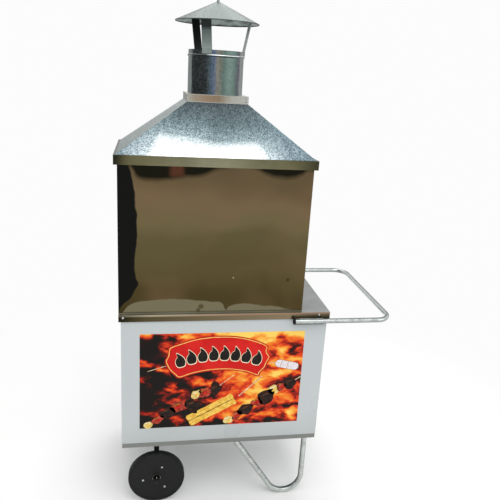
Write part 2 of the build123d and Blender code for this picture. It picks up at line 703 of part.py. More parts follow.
def grill():
    """Lift-off cooking grill: a rod frame, close wires and a grip loop at each end."""
    z = BRAZIER_RIM + SEAT + GRILL_ROD
    x0, x1 = BRAZIER_LEFT - GRILL_MARGIN, BRAZIER_RIGHT + GRILL_MARGIN
    y0, y1 = BRAZIER_FRONT - GRILL_MARGIN, BRAZIER_REAR + GRILL_MARGIN
    piece = rod_x(x0, x1, y0, z, GRILL_ROD) + rod_x(x0, x1, y1, z, GRILL_ROD)
    for x in (x0, x1):
        piece += rod_y(x, y0, y1, z, GRILL_ROD)
        for y in (y0, y1):
            piece += Pos(x, y, z) * Sphere(GRILL_ROD)
    count = int((x1 - x0) // GRILL_PITCH) - 1
    first = (x0 + x1) / 2 - GRILL_PITCH * count / 2
    for k in range(count + 1):
        piece += rod_y(first + k * GRILL_PITCH, y0, y1, z, GRILL_WIRE)
    middle = (y0 + y1) / 2
    for x in (x0, x1):
        points = [
            (x, middle - GRILL_GRIP_SPAN / 2, z),
            (x, middle - GRILL_GRIP_SPAN / 2, z + GRILL_GRIP_RISE),
            (x, middle + GRILL_GRIP_SPAN / 2, z + GRILL_GRIP_RISE),
            (x, middle + GRILL_GRIP_SPAN / 2, z),
        ]
        path = FilletPolyline(*points, radius=GRILL_GRIP_RISE / 2)
        piece += sweep(Plane(origin=path @ 0, z_dir=path % 0) * Circle(GRILL_ROD - 1), path=path)
    return piece


# ---- Handle -----------------------------------------------------------------------------------
def handle():
    """Bent push handle whose two arms slide into the sleeves."""
    start = SLEEVE_LEFT + SLEEVE_RECESS
    z = HANDLE_HEIGHT
    points = [
        (start, SLEEVE_FRONT, z),
        (GRIP_X, SLEEVE_FRONT, z),
        (GRIP_X, SLEEVE_REAR, z),
        (start, SLEEVE_REAR, z),
    ]
    return bent_tube(points, HANDLE_BEND, HANDLE_RADIUS, HANDLE_WALL)


def sleeves():
    x1 = SLEEVE_LEFT + SLEEVE_LENGTH
    tube = rod_x(SLEEVE_LEFT, x1, SLEEVE_FRONT, HANDLE_HEIGHT, SLEEVE_RADIUS)
    pad = (HANDLE_HEIGHT - SLEEVE_RADIUS + 1, BAND_BOTTOM - SEAT)
    tube += block(SLEEVE_LEFT + 8, x1 - 8, SLEEVE_FRONT, CABINET_FRONT, *pad)
    tube -= rod_x(SLEEVE_LEFT - 1, x1 + 1, SLEEVE_FRONT, HANDLE_HEIGHT, SLEEVE_BORE)
    x, z, screw_radius = x1 - 12.0, HANDLE_HEIGHT, 2.5
    outside = SLEEVE_FRONT - SLEEVE_RADIUS
    tube -= rod_y(x, outside - 1, SLEEVE_FRONT, z, screw_radius + HOLE_GAP)
    screw = rod_y(x, outside - 0.5, SLEEVE_FRONT - HANDLE_RADIUS - SEAT, z, screw_radius)
    return {
        "handle_sleeves": [tube, mirror(tube, MIRROR_DEPTH)],
        "handle_clamp_screws": [screw, mirror(screw, MIRROR_DEPTH)],
    }


# ---- Hood and roof ----------------------------------------------------------------------------
def hood_panels():
    """Folded front, sides and lintel; the cook's side stays open below the lintel."""
    z0, z1 = WORKTOP_HEIGHT, HOOD_TOP
    y0, y1 = HOOD_SETBACK, HOOD_REAR
    front = pan(0, HOOD_LENGTH, y0, y0 + FOLD, z0, z1, "+y")
    side = block(0, SHEET, y0 + FOLD, y1, z0, z1)
    side += block(0, FOLD, y0 + FOLD, y1, z0, z0 + SHEET)
    side += block(0, FOLD, y0 + FOLD, y1, z1 - SHEET, z1)
    side += block(0, REAR_FLANGE, y1 - SHEET, y1, z0, z1)
    middle = Plane(origin=(HOOD_LENGTH / 2, 0, 0), z_dir=(1, 0, 0))
    inner = SHEET + SEAT
    lintel = block(
        inner, HOOD_LENGTH - inner, y1 - 2 * SHEET, y1 - SHEET, z1 - SHEET - LINTEL_HEIGHT, z1 - SHEET
    )
    lip_z = z1 - SHEET - LINTEL_HEIGHT
    lintel += block(REAR_FLANGE, HOOD_LENGTH - REAR_FLANGE, y1 - FOLD, y1 - SHEET, lip_z, lip_z + SHEET)
    return {
        "hood_front_panel": front,
        "hood_left_panel": side,
        "hood_right_panel": mirror(side, middle),
        "hood_rear_lintel": lintel,
    }


def eave_band():
    """Four angle strips round the hood's top: front and rear, then left and right."""
    x0, x1 = -EAVE_OVERHANG, HOOD_LENGTH + EAVE_OVERHANG
    y0, y1 = HOOD_SETBACK - EAVE_OVERHANG, HOOD_REAR + EAVE_OVERHANG
    front = block(x0, x1, y0, y0 + SHEET, EAVE_BOTTOM, EAVE_TOP)
    front += block(x0, x1, y0, y0 + EAVE_FLANGE, HOOD_TOP, EAVE_TOP)
    rear = mirror(front, Plane(origin=(0, HOOD_MIDDLE[1], 0), z_dir=(0, 1, 0)))
    left = block(x0, x0 + SHEET, y0 + SHEET, y1 - SHEET, EAVE_BOTTOM, HOOD_TOP)
    left += block(x0, x0 + EAVE_FLANGE, y0 + EAVE_FLANGE, y1 - EAVE_FLANGE, HOOD_TOP, EAVE_TOP)
    right = mirror(left, Plane(origin=(HOOD_MIDDLE[0], 0, 0), z_dir=(1, 0, 0)))
    return [front, rear, left, right]


def roof_sheets():
    """Four sloping sheets that meet at the hips, from the band up to the collar."""
    cx, cy = HOOD_MIDDLE
    foot_x = HOOD_LENGTH / 2 + EAVE_OVERHANG - ROOF_INSET
    foot_y = HOOD_DEPTH / 2 + EAVE_OVERHANG - ROOF_INSET
    head = COLLAR / 2
    signs = [(-1, -1), (1, -1), (1, 1), (-1, 1)]

    def ring(half_x, half_y, z):
        return [(cx + sx * half_x, cy + sy * half_y, z) for sx, sy in signs]

    inset = 1.6 * SHEET
    outer = [ring(foot_x, foot_y, EAVE_TOP), ring(head, head, ROOF_TOP)]
    inner = [
        ring(foot_x - inset, foot_y - inset, EAVE_TOP),
        ring(head - inset, head - inset, ROOF_TOP),
    ]
    nodes = {}
    for i, side in enumerate(["front", "right", "rear", "left"]):
        j = (i + 1) % 4
        quads = [[s[0][i], s[0][j], s[1][j], s[1][i]] for s in (outer, inner)]
        nodes[f"roof_{side}_sheet"] = plate_between(*quads)
    return nodes


# ---- Collar, flue and rain cap ----------------------------------------------------------------
def collar_rivet_places():
    """Two rivets beside each corner of the collar, one side after the other."""
    centre = Pos(*HOOD_MIDDLE, 0)
    places = []
    for turn in range(4):
        for z in (COLLAR_BOTTOM + 8, COLLAR_TOP - 8):
            local = Pos(COLLAR / 2 - 9, -COLLAR / 2, z) * Rot(90, 0, 0)
            places.append(centre * Rot(0, 0, 90 * turn) * local)
    return places


def collar():
    """Square folded collar with the pipe's hole in its top."""
    half = COLLAR / 2
    cx, cy = HOOD_MIDDLE
    piece = pan(cx - half, cx + half, cy - half, cy + half, COLLAR_BOTTOM, COLLAR_TOP, "-z")
    piece -= rod_z(cx, cy, COLLAR_BOTTOM, COLLAR_TOP + 1, FLUE_RADIUS + SEAT)
    for place in collar_rivet_places():
        piece -= rivet_hole(place, 2.0)
    return piece


def strap_rivet_places():
    """Two rivets side by side through each strap's lower tab."""
    z = STRAP_BOTTOM + STRAP_RIVET_RISE
    centre = Pos(*HOOD_MIDDLE, 0)
    out = FLUE_RADIUS + SEAT + STRAP_SHEET
    places = []
    for angle in STRAP_ANGLES:
        for side in (-STRAP_WIDTH / 4, STRAP_WIDTH / 4):
            places.append(centre * Rot(0, 0, angle) * Pos(out, side, z) * Rot(0, 90, 0))
    return places


def flue_pipe():
    """Galvanised pipe with a rolled bead near its top."""
    cx, cy = HOOD_MIDDLE
    bottom = COLLAR_BOTTOM + SHEET
    r, inner, half = FLUE_RADIUS, FLUE_RADIUS - THIN_SHEET, 1.6 * BEAD_RISE
    low, high, mid = BEAD_HEIGHT - half, BEAD_HEIGHT + half, BEAD_HEIGHT
    outline = [
        Line((r, 0, bottom), (r, 0, low)),
        ThreePointArc((r, 0, low), (r + BEAD_RISE, 0, mid), (r, 0, high)),
        Line((r, 0, high), (r, 0, FLUE_TOP)),
        Line((r, 0, FLUE_TOP), (inner, 0, FLUE_TOP)),
        Line((inner, 0, FLUE_TOP), (inner, 0, high)),
        ThreePointArc((inner, 0, high), (inner + BEAD_RISE, 0, mid), (inner, 0, low)),
        Line((inner, 0, low), (inner, 0, bottom)),
        Line((inner, 0, bottom), (r, 0, bottom)),
    ]
    pipe = Pos(cx, cy, 0) * revolve(make_face(outline), Axis.Z)
    for place in strap_rivet_places():
        pipe -= rivet_hole(place, 8.0)
    return pipe


def cap_cone():
    """Conical rain cap with a short turned-down lip."""
    slope = atan2(CAP_RISE, CAP_RADIUS)
    drop = THIN_SHEET / cos(slope)
    under = THIN_SHEET / tan(slope / 2 + radians(45))
    inner = CAP_RADIUS - THIN_SHEET
    inner_z = CAP_RIM + CAP_RISE - drop - inner * tan(slope)
    bore = FINIAL_RADIUS / 2 + HOLE_GAP
    outline = [
        (bore, 0, CAP_RIM + CAP_RISE - bore * tan(slope)),
        (CAP_RADIUS, 0, CAP_RIM),
        (CAP_RADIUS, 0, CAP_RIM - CAP_LIP),
        (inner, 0, CAP_RIM - CAP_LIP),
        (inner, 0, min(inner_z, CAP_RIM - under / 2)),
        (bore, 0, CAP_RIM + CAP_RISE - drop - bore * tan(slope)),
    ]
    return Pos(*HOOD_MIDDLE, 0) * turned(outline, Axis.Z)


def cap_finial():
    """Domed rivet head that closes the cone's point."""
    top = CAP_RIM + CAP_RISE + FINIAL_HEIGHT
    slope = CAP_RISE / CAP_RADIUS
    seat = CAP_RIM + CAP_RISE - FINIAL_RADIUS * slope + 0.05
    stem = FINIAL_RADIUS / 2
    bottom = CAP_RIM + CAP_RISE - 8.0
    outline = [
        (0, 0, bottom),
        (stem, 0, bottom),
        (stem, 0, CAP_RIM + CAP_RISE - stem * slope + 0.05),
        (FINIAL_RADIUS, 0, seat),
        (FINIAL_RADIUS, 0, top - 3),
        (FINIAL_RADIUS * 0.6, 0, top - 0.8),
        (0, 0, top),
    ]
    return Pos(*HOOD_MIDDLE, 0) * turned(outline, Axis.Z)


def cap_straps():
    """Flat straps from the pipe's outside up to the cone's underside."""
    slope = CAP_RISE / CAP_RADIUS
    tilt = atan2(CAP_RISE, CAP_RADIUS)
    r0 = FLUE_RADIUS + SEAT
    t = STRAP_SHEET
    low = STRAP_BOTTOM
    bend = FLUE_TOP + 2.0
    r1 = STRAP_TOP_RADIUS
    inner_end = r1 - STRAP_TAB * cos(tilt)
    sag = slope * (hypot(inner_end, STRAP_WIDTH / 2) - inner_end)
    under = CAP_RIM + CAP_RISE - (THIN_SHEET + SEAT) / cos(tilt) - sag

    def cone_z(r):
        return under - slope * r

    inward = [
        (r0, 0, low),
        (r0, 0, bend),
        (r1 - t, 0, cone_z(r1) - t),
        (inner_end, 0, cone_z(inner_end) - t),
        (inner_end, 0, cone_z(inner_end)),
        (r1, 0, cone_z(r1)),
        (r1 + 0.3 * t, 0, cone_z(r1) - t),
        (r0 + t, 0, bend),
        (r0 + t, 0, low),
    ]
    blank = extrude(make_face(Polyline(*inward, close=True)), STRAP_WIDTH / 2, both=True)
    straps = []
    for angle in STRAP_ANGLES:
        strap = Pos(*HOOD_MIDDLE, 0) * Rot(0, 0, angle) * blank
        for place in strap_rivet_places():
            strap -= rivet_hole(place, 8.0)
        straps.append(strap)
    return straps


# ---- Everything, node by node -----------------------------------------------------------------
def everything():
    hanger, front_leg = axle_hanger(), leg()
    collar_rivets = [rivet(p, 2.5) for p in collar_rivet_places()]
    strap_rivets = [rivet(p, 5.0) for p in strap_rivet_places()]
    nodes = {
        "axle_hangers": [hanger, mirror(hanger, MIRROR_DEPTH)],
        "front_leg": front_leg,
        "rear_leg": mirror(front_leg, MIRROR_DEPTH),
        "cabinet_floor": cabinet_floor(),
        "cabinet_front_panel": cabinet_front(),
        "front_graphic": graphic(),
        "worktop": worktop(),
        "worktop_screws": worktop_screws(),
        "brazier": brazier(),
        "coal_grate": coal_grate(),
        "grill": grill(),
        "handle": handle(),
        "eave_band": eave_band(),
        "flue_collar": collar(),
        "flue_pipe": flue_pipe(),
        "flue_rivets": collar_rivets + strap_rivets,
        "cap_straps": cap_straps(),
        "cap_cone": cap_cone(),
        "cap_finial": cap_finial(),
    }
    for group in (base_rails, axle_pieces, wheels, cabinet_sides, rear_panels, doors, drawer_pieces):
        nodes.update(group())
    for group in (sleeves, hood_panels, roof_sheets):
        nodes.update(group())
    return nodes


def solids_of(shape):
    shapes = shape if isinstance(shape, list) else [shape]
    return [solid for s in shapes for solid in s.solids()]


os.makedirs("parts", exist_ok=True)
for node, shape in everything().items():
    placed = [ORIGIN * solid for solid in solids_of(shape)]
    export_step(placed[0] if len(placed) == 1 else Compound(placed), f"parts/{node}.step")
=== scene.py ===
# %% [markdown]
# # A street grill cart
#
# The steel pieces arrive ready shaped: every sheet, tube, bolt and hinge is already in its place.
# This lesson gives them their surfaces and softened edges, prints the picture on the front, adds a
# few plastic bushes and plugs, and sets up the camera and the light.
#
# First the pieces are loaded, and a small function reads the box around any one piece.

from math import cos, pi, radians, sin

import bmesh
import bpy
from mathutils import Matrix, Vector, noise


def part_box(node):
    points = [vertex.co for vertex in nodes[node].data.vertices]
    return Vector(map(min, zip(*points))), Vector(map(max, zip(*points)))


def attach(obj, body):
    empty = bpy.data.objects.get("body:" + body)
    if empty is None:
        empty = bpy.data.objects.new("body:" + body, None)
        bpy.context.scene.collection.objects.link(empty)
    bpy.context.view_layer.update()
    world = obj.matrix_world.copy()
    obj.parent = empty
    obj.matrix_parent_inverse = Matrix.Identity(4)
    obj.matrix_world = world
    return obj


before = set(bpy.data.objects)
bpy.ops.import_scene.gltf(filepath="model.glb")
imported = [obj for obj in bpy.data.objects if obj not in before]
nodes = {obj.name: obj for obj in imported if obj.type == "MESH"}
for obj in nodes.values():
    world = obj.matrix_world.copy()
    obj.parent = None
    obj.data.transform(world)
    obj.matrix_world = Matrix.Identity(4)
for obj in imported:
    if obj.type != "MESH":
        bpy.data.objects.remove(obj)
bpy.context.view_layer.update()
MM = 0.001
EAVE_FOOT = 1.3846  # height of the eave's lower edge, where the hood sheets go out of sight
HANDLE_RADIUS = 9.525 * MM

# %% [markdown]
# The camera stands where a grown person stands, at eye level and a little to the left, and looks
# down at the cart. A roll of a few degrees tips the view, as a camera held in the hands does.

# %% Camera
EYE = Vector((-0.42843, -2.23867, 1.7027))
YAW, PITCH, ROLL = radians(10.81), radians(17.13), radians(-3.43)
SENSOR, LENS = 36.0, 41.286

ahead = Vector((sin(YAW) * cos(PITCH), cos(YAW) * cos(PITCH), -sin(PITCH)))
level = Vector((cos(YAW), -sin(YAW), 0.0))
under = ahead.cross(level)
right = level * cos(ROLL) + under * sin(ROLL)
down = under * cos(ROLL) - level * sin(ROLL)
lens = bpy.data.cameras.new("camera")
lens.sensor_width, lens.lens = SENSOR, LENS
lens.clip_end = 50.0
camera = bpy.data.objects.new("camera", lens)
bpy.context.scene.collection.objects.link(camera)
turn = Matrix((right, -down, -ahead)).transposed().to_4x4()
camera.matrix_world = Matrix.Translation(EYE) @ turn
bpy.context.scene.camera = camera
print("camera at", tuple(round(v, 2) for v in EYE))

# %% [markdown]
# ## Surfaces
#
# A surface is a small network of nodes. Colours are written as they look on a screen, and one
# function turns them into the linear values that light is reckoned in. Another function adds a
# node, sets it, and joins it to what feeds it. The rest are short names for nodes that are often
# wanted. Pattern sizes are real sizes in millimetres.


# %% Colour and node helpers
def linear(code):
    """A screen colour such as "#c8cdcf" as the linear colour that the renderer works with."""
    parts = [int(code[i : i + 2], 16) / 255 for i in (1, 3, 5)]
    return [p / 12.92 if p <= 0.04045 else ((p + 0.055) / 1.055) ** 2.4 for p in parts] + [1.0]


def add(tree, kind, feeds=None, **settings):
    """One node of this kind, with its settings, and with its sockets fed by values or outputs."""
    node = tree.nodes.new("ShaderNode" + kind)
    for key, value in settings.items():
        setattr(node, key, value)
    for socket, feed in (feeds or {}).items():
        if isinstance(feed, bpy.types.NodeSocket):
            tree.links.new(feed, node.inputs[socket])
        else:
            node.inputs[socket].default_value = feed
    return node


def ramp(tree, factor, stops, ease="LINEAR"):
    """A colour ramp through (place, colour) stops."""
    node = add(tree, "ValToRGB", {"Fac": factor})
    node.color_ramp.interpolation = ease
    marks = node.color_ramp.elements
    for _ in stops[2:]:
        marks.new(0.5)
    for mark, (place, code) in zip(marks, stops):
        mark.position, mark.color = place, linear(code)
    return node.outputs["Color"]


def surface(name, **values):
    """A new material: its node tree, its shader and where the eye is on the piece, in metres."""
    made = bpy.data.materials.new(name)
    made.use_nodes = True
    tree = made.node_tree
    shader = tree.nodes["Principled BSDF"]
    for socket, value in values.items():
        shader.inputs[socket.replace("_", " ")].default_value = value
    place = add(tree, "TexCoord").outputs["Object"]
    return made, tree, shader, place


def per_mm(size):
    """A pattern's scale, for cells or waves of this many millimetres."""
    return 1000.0 / size


def dent(tree, shader, height, depth_mm, strength):
    """Raises the surface by up to depth_mm where height is 1."""
    feeds = {"Height": height, "Strength": strength, "Distance": depth_mm * MM}
    bump = add(tree, "Bump", feeds)
    tree.links.new(bump.outputs["Normal"], shader.inputs["Normal"])


def blend_colours(tree, share, first, second, mode="MIX"):
    """A mix of two colours, each a screen colour or an output."""
    feeds = {0: share}
    for socket, colour in ((6, first), (7, second)):
        feeds[socket] = linear(colour) if isinstance(colour, str) else colour
    node = add(tree, "Mix", feeds, data_type="RGBA", blend_type=mode)
    return node.outputs[2]


def curve(tree, value, points):
    """A curve through the given (in, out) points, both from 0 to 1."""
    node = add(tree, "FloatCurve", {"Value": value})
    line = node.mapping.curves[0]
    for spot in points[1:-1]:
        line.points.new(*spot)
    for mark, spot in zip(line.points, sorted(points)):
        mark.location = spot
    node.mapping.update()
    return node.outputs[0]


def span(tree, value, low, high, to_low=0.0, to_high=1.0):
    """The value carried from one range to another, held at the ends."""
    feeds = {"Value": value, "From Min": low, "From Max": high, "To Min": to_low, "To Max": to_high}
    return add(tree, "MapRange", feeds).outputs["Result"]


def reckon(tree, sum_kind, first, second):
    """One sum on two values: ADD, SUBTRACT, MULTIPLY and so on."""
    return add(tree, "Math", {0: first, 1: second}, operation=sum_kind).outputs[0]


def size_of(tree, value):
    """The value without its sign."""
    return add(tree, "Math", {0: value}, operation="ABSOLUTE").outputs[0]


def split(tree, place):
    """The X, Y and Z of a place."""
    return add(tree, "SeparateXYZ", {"Vector": place}).outputs


def soft_noise(tree, place, size_mm, detail=2.0, **more):
    """Soft noise from 0 to 1, in blots of about this many millimetres."""
    feeds = {"Vector": place, "Scale": per_mm(size_mm), "Detail": detail, **more}
    return add(tree, "TexNoise", feeds).outputs["Fac"]


print("helpers ready")

# %% [markdown]
# ** Galvanised sheet** is steel dipped in molten zinc. The zinc freezes in flat crystals, the
# spangle, a few millimetres across, each tilted its own way, so each mirrors a different patch of
# sky. A cell pattern with one random value for each cell gives that look: the value changes the
# cell's brightness and its gloss. Soft clouds over it are handling marks. Some pieces have more
# over
# the spangle: painted reflection on the roof's front sheet; streaks, a painted dark reflection,
# painted shade and a painted highlight on the flue; painted shade under the rain cap; and painted
# light and shade on its straps.


# %% Galvanised sheet
def galvanised(name, dark, bright, crystal_mm, paint=None):
    """Zinc with spangle of this size; paint lays the piece's own tones and its painted light over
    it.
    """
    made, tree, shader, place = surface(name, Metallic=0.9)
    warp = add(tree, "TexNoise", {"Vector": place, "Scale": per_mm(crystal_mm * 1.5)})
    feeds = {0: warp.outputs["Color"], 1: (0.5, 0.5, 0.5)}
    shift = add(tree, "VectorMath", feeds, operation="SUBTRACT")
    feeds = {0: shift.outputs[0], "Scale": crystal_mm * MM}
    bent = add(tree, "VectorMath", feeds, operation="SCALE")
    moved = add(tree, "VectorMath", {0: place, 1: bent.outputs[0]}, operation="ADD")
    crystals = add(tree, "TexVoronoi", {"Vector": moved.outputs[0], "Scale": per_mm(crystal_mm)})
    grain = add(tree, "SeparateColor", {"Color": crystals.outputs["Color"]})
    tone = ramp(tree, grain.outputs["Red"], [(0.0, dark), (1.0, bright)])
    clouds = soft_noise(tree, place, 90, 5.0)
    marks = ramp(tree, clouds, [(0.35, "#c6cacb"), (0.7, "#ffffff")])
    colour = blend_colours(tree, 0.6, tone, marks, "MULTIPLY")
    if paint:
        colour = paint(tree, place, colour)
    tree.links.new(colour, shader.inputs["Base Color"])
    gloss = span(tree, grain.outputs["Green"], 0.0, 1.0, 0.28, 0.5)
    tree.links.new(gloss, shader.inputs["Roughness"])
    dent(tree, shader, grain.outputs["Blue"], 0.05, 0.5)
    return made


# Painted reflection on the front roof sheet: the heights and the middle of its painted bright
# patch.
REFLECTION_FOOT, REFLECTION_TOP = 1.42, 1.60  # heights between which the roof sheet goes from bright to dark
REFLECTION_MIDDLE = -0.215  # where along the roof the bright patch is centred


def roof_painted_reflection(tree, place, colour):
    """Painted reflection: the front roof sheet is painted brightest low in the middle, where it
    faces the open sky, and darker towards its top and ends.
    """
    at = split(tree, place)
    rise = span(tree, at["Z"], REFLECTION_FOOT, REFLECTION_TOP)
    wave = soft_noise(tree, place, 160, 1.0)
    height = reckon(tree, "ADD", rise, span(tree, wave, 0.0, 1.0, -0.16, 0.16))
    stops = [(0.0, "#ffffff"), (0.16, "#dde3e4"), (0.34, "#9dabae"), (0.64, "#5f7075")]
    shade = ramp(tree, height, stops + [(1.0, "#1a2b31")])
    side = size_of(tree, reckon(tree, "SUBTRACT", at["X"], REFLECTION_MIDDLE))
    edge = span(tree, side, 0.17, 0.30)
    edged = blend_colours(tree, edge, shade, "#8696a0")
    colour = blend_colours(tree, 0.92, colour, edged, "MULTIPLY")
    # A painted white highlight low in the middle, broken up by fine haze.
    bright = span(tree, reckon(tree, "ADD", height, edge), 0.36, 0.0, 0.0, 0.8)
    haze = soft_noise(tree, place, 4, 1.0)
    bright = reckon(tree, "MULTIPLY", bright, span(tree, haze, 0.25, 0.5, 0.55, 1.0))
    return blend_colours(tree, bright, colour, "#ffffff")


def pipe_streaks_and_painted_light(tree, place, colour):
    """A painted dark reflection down one side of the flue, then blue, straw and green streaks, then
    plain zinc.

    Under the rolled bead near the top runs a painted shade line, and on the bead a painted
    highlight, strongest over the streaks and faint over the dark band.
    """
    low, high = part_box("flue_pipe")
    middle = (low + high) / 2
    off = add(tree, "VectorMath", {0: place, 1: middle}, operation="SUBTRACT")
    at = split(tree, off.outputs[0])
    round_it = reckon(tree, "ARCTAN2", at["Y"], at["X"])
    streaks = add(tree, "Mapping", {"Vector": place, "Scale": (per_mm(9), per_mm(9), per_mm(60))})
    runs = add(tree, "TexNoise", {"Vector": streaks.outputs[0], "Scale": 1.0, "Detail": 3.0})
    stray = span(tree, runs.outputs["Fac"], 0.2, 0.8, -0.014, 0.014)
    share = reckon(tree, "ADD", span(tree, round_it, -pi, pi), stray)
    # The near-black stops are a painted dark reflection down one side of the flue.
    tint = ramp(
        tree,
        share,
        [
            (0.0, "#a4acab"),
            (0.062, "#98a1a0"),
            (0.078, "#080c0d"),
            (0.178, "#060a0b"),
            (0.198, "#3f5056"),
            (0.222, "#5c6f8c"),
            (0.245, "#8d8778"),
            (0.275, "#5d736b"),
            (0.355, "#6e857e"),
            (0.372, "#6d7379"),
            (0.385, "#77727c"),
            (0.40, "#b5b9b9"),
            (0.55, "#98a1a1"),
            (1.0, "#a4acab"),
        ],
    )
    tint = blend_colours(tree, 0.88, colour, tint)
    # Red marks the painted shade line under the bead, and green the painted highlight on it.
    none, painted_shade_mark, painted_highlight_mark = "#000000", "#ff0000", "#00ff00"
    stops = [(0.72, none), (0.745, painted_shade_mark), (0.785, painted_highlight_mark), (0.825, none)]
    bead = ramp(tree, span(tree, at["Z"], 0.0, high.z - middle.z), stops, "CONSTANT")
    rolled = add(tree, "SeparateColor", {"Color": bead})
    # The painted shade line under the bead.
    line = reckon(tree, "MULTIPLY", rolled.outputs["Red"], 0.75)
    tint = blend_colours(tree, line, tint, "#10181a")
    # Where the bead's painted highlight shows: faint over the painted dark band, full over the
    # streaks, weaker beyond.
    dark_band_edge = span(tree, share, 0.17, 0.2, 0.15, 1.0)
    clean = reckon(tree, "MULTIPLY", dark_band_edge, span(tree, share, 0.39, 0.375, 0.3, 1.0))
    pipe_painted_highlight = reckon(tree, "MULTIPLY", rolled.outputs["Green"], clean)
    return blend_colours(tree, reckon(tree, "MULTIPLY", pipe_painted_highlight, 0.85), tint, "#eef4f4")


def cap_tone_and_painted_shade(tree, place, colour):
    """The cap is washed grey on top; its underside, where it faces down, is painted dark and
    blotched as painted shade and reflection.
    """
    facing = split(tree, add(tree, "NewGeometry").outputs["Normal"])
    blots = soft_noise(tree, place, 45, 3.0)
    painted_underside_shade = ramp(tree, blots, [(0.38, "#2b3330"), (0.5, "#6e7975"), (0.62, "#8b9793")])
    # Faces turned down get the painted shade.
    under = span(tree, facing["Z"], -0.05, -0.1)
    washed = blend_colours(tree, 0.35, colour, "#5f6c68")
    return blend_colours(tree, under, washed, painted_underside_shade)


def strap_painted_light(tree, place, colour):
    """Painted light and shade on the straps: the left rear strap is painted black as shade, the
    front one painted dark on top as the cone's shadow, the right one painted bright.
    """
    low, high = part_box("cap_straps")
    at = split(tree, place)
    depth = span(tree, at["Y"], low.y, high.y)
    rise = span(tree, at["Z"], low.z, high.z)
    stops = [(0.0, "#a3b0ab"), (0.3, "#7e8a86"), (0.58, "#5d6865")]
    # The front strap: painted shadow of the cone, dark towards its top.
    front = ramp(tree, rise, stops + [(0.68, "#161b1a"), (1.0, "#101413")])
    # The right strap painted bright, the left rear strap painted black as shade.
    tint = blend_colours(tree, span(tree, depth, 0.35, 0.36), front, "#c3c9c6")
    tint = blend_colours(tree, span(tree, depth, 0.74, 0.76), tint, "#0f1312")
    return blend_colours(tree, 0.85, colour, tint)


# The front roof sheet, flue, cap and straps get painted reflection, highlight and shade over their
# zinc.
spangled_roof = galvanised("galvanised_steel_roof_front", "#7f8e93", "#e9eff0", 3.2, roof_painted_reflection)
spangled_sides = galvanised("galvanised_steel_roof", "#8f9a9a", "#b9c3c0", 5.0)
spangled_pipe = galvanised("galvanised_steel_pipe", "#5d6a6d", "#c4cccb", 5.0, pipe_streaks_and_painted_light)
smooth_cap = galvanised("galvanised_steel_cap", "#4a5451", "#59635f", 2.0, cap_tone_and_painted_shade)
strap_zinc = galvanised("galvanised_steel_strap", "#5b6362", "#7c8583", 3.0, strap_painted_light)
inner_zinc = galvanised("galvanised_steel_inside", "#7d8688", "#a3abac", 6.0)
print("galvanised sheet in six finishes")

# %% [markdown]
# ** Stainless sheet** for the hood is bought mirror bright, with a film on it. Its straw and olive
# colour is painted reflection. The big front sheet is not quite flat, so what it mirrors bends in
# long curves. Its painted reflection follows broad waves that run down the sheet, darker towards
# the foot. The worktop, the eave band and the collar are brushed, and each carries a painted
# reflection of its own.


# %% Stainless sheet
def brushed_scratches(tree, place, along, spacing_mm=0.9, length_mm=60.0):
    """Fine scratches: noise squeezed across the brushing and drawn out along it."""
    squeeze = [per_mm(spacing_mm)] * 3
    squeeze["xyz".index(along)] = per_mm(length_mm)
    drawn = add(tree, "Mapping", {"Vector": place, "Scale": squeeze})
    return add(tree, "TexNoise", {"Vector": drawn.outputs[0], "Scale": 1.0}).outputs["Fac"]


def stainless(name, dark, bright, along, rough=(0.14, 0.3), paint=None):
    """Smeared stainless, scratched along x, y or z; rough is its least and greatest roughness."""
    made, tree, shader, place = surface(name, Metallic=1.0)
    scratches = brushed_scratches(tree, place, along)
    smears = soft_noise(tree, place, 110, 4.0)
    tone = ramp(tree, smears, [(0.3, dark), (0.7, bright)])
    fine = ramp(tree, scratches, [(0.3, "#e4e4e4"), (0.7, "#ffffff")])
    colour = blend_colours(tree, 1.0, tone, fine, "MULTIPLY")
    if paint:
        colour = paint(tree, place, colour)
    tree.links.new(colour, shader.inputs["Base Color"])
    tree.links.new(span(tree, smears, 0.0, 1.0, *rough), shader.inputs["Roughness"])
    dent(tree, shader, scratches, 0.02, 0.25)
    return made


def band_painted_reflection(tree, place, colour):
    """Painted reflection on the worktop's folded band: darker and browner than its top, darkest at
    the left end, with a painted highlight along the fold, pale towards the left and coppery further
    right.
    """
    low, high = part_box("worktop")
    at = split(tree, place)
    across = span(tree, at["X"], low.x, high.x)
    stops = [(0.0, "#23211a"), (0.03, "#2e2b1c"), (0.12, "#564d35"), (0.45, "#746750")]
    brown = ramp(tree, across, stops + [(0.8, "#8a7a62"), (1.0, "#5e5648")])
    # A painted highlight along the fold.
    line = span(tree, at["Z"], high.z - 0.009, high.z - 0.005)
    stops = [(0.0, "#57503f"), (0.15, "#b3a68b"), (0.55, "#a58266"), (1.0, "#9a7c62")]
    painted_fold_highlight = ramp(tree, across, stops)
    brown = blend_colours(tree, line, brown, painted_fold_highlight)
    on_band = span(tree, at["Z"], high.z - 0.0006, high.z - 0.0012)
    return blend_colours(tree, on_band, colour, brown)


def eave_painted_reflection(tree, place, colour):
    """Painted reflection on the band round the hood: dark at its left end and darker towards the
    right.
    """
    low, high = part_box("eave_band")
    at = split(tree, place)
    across = span(tree, at["X"], low.x, high.x)
    stops = [(0.0, "#1b2020"), (0.015, "#2d2f28"), (0.07, "#b9b29a"), (0.5, "#ffffff")]
    tint = ramp(tree, across, stops + [(0.85, "#c9c3b0"), (1.0, "#5f604f")])
    return blend_colours(tree, 0.9, colour, tint, "MULTIPLY")


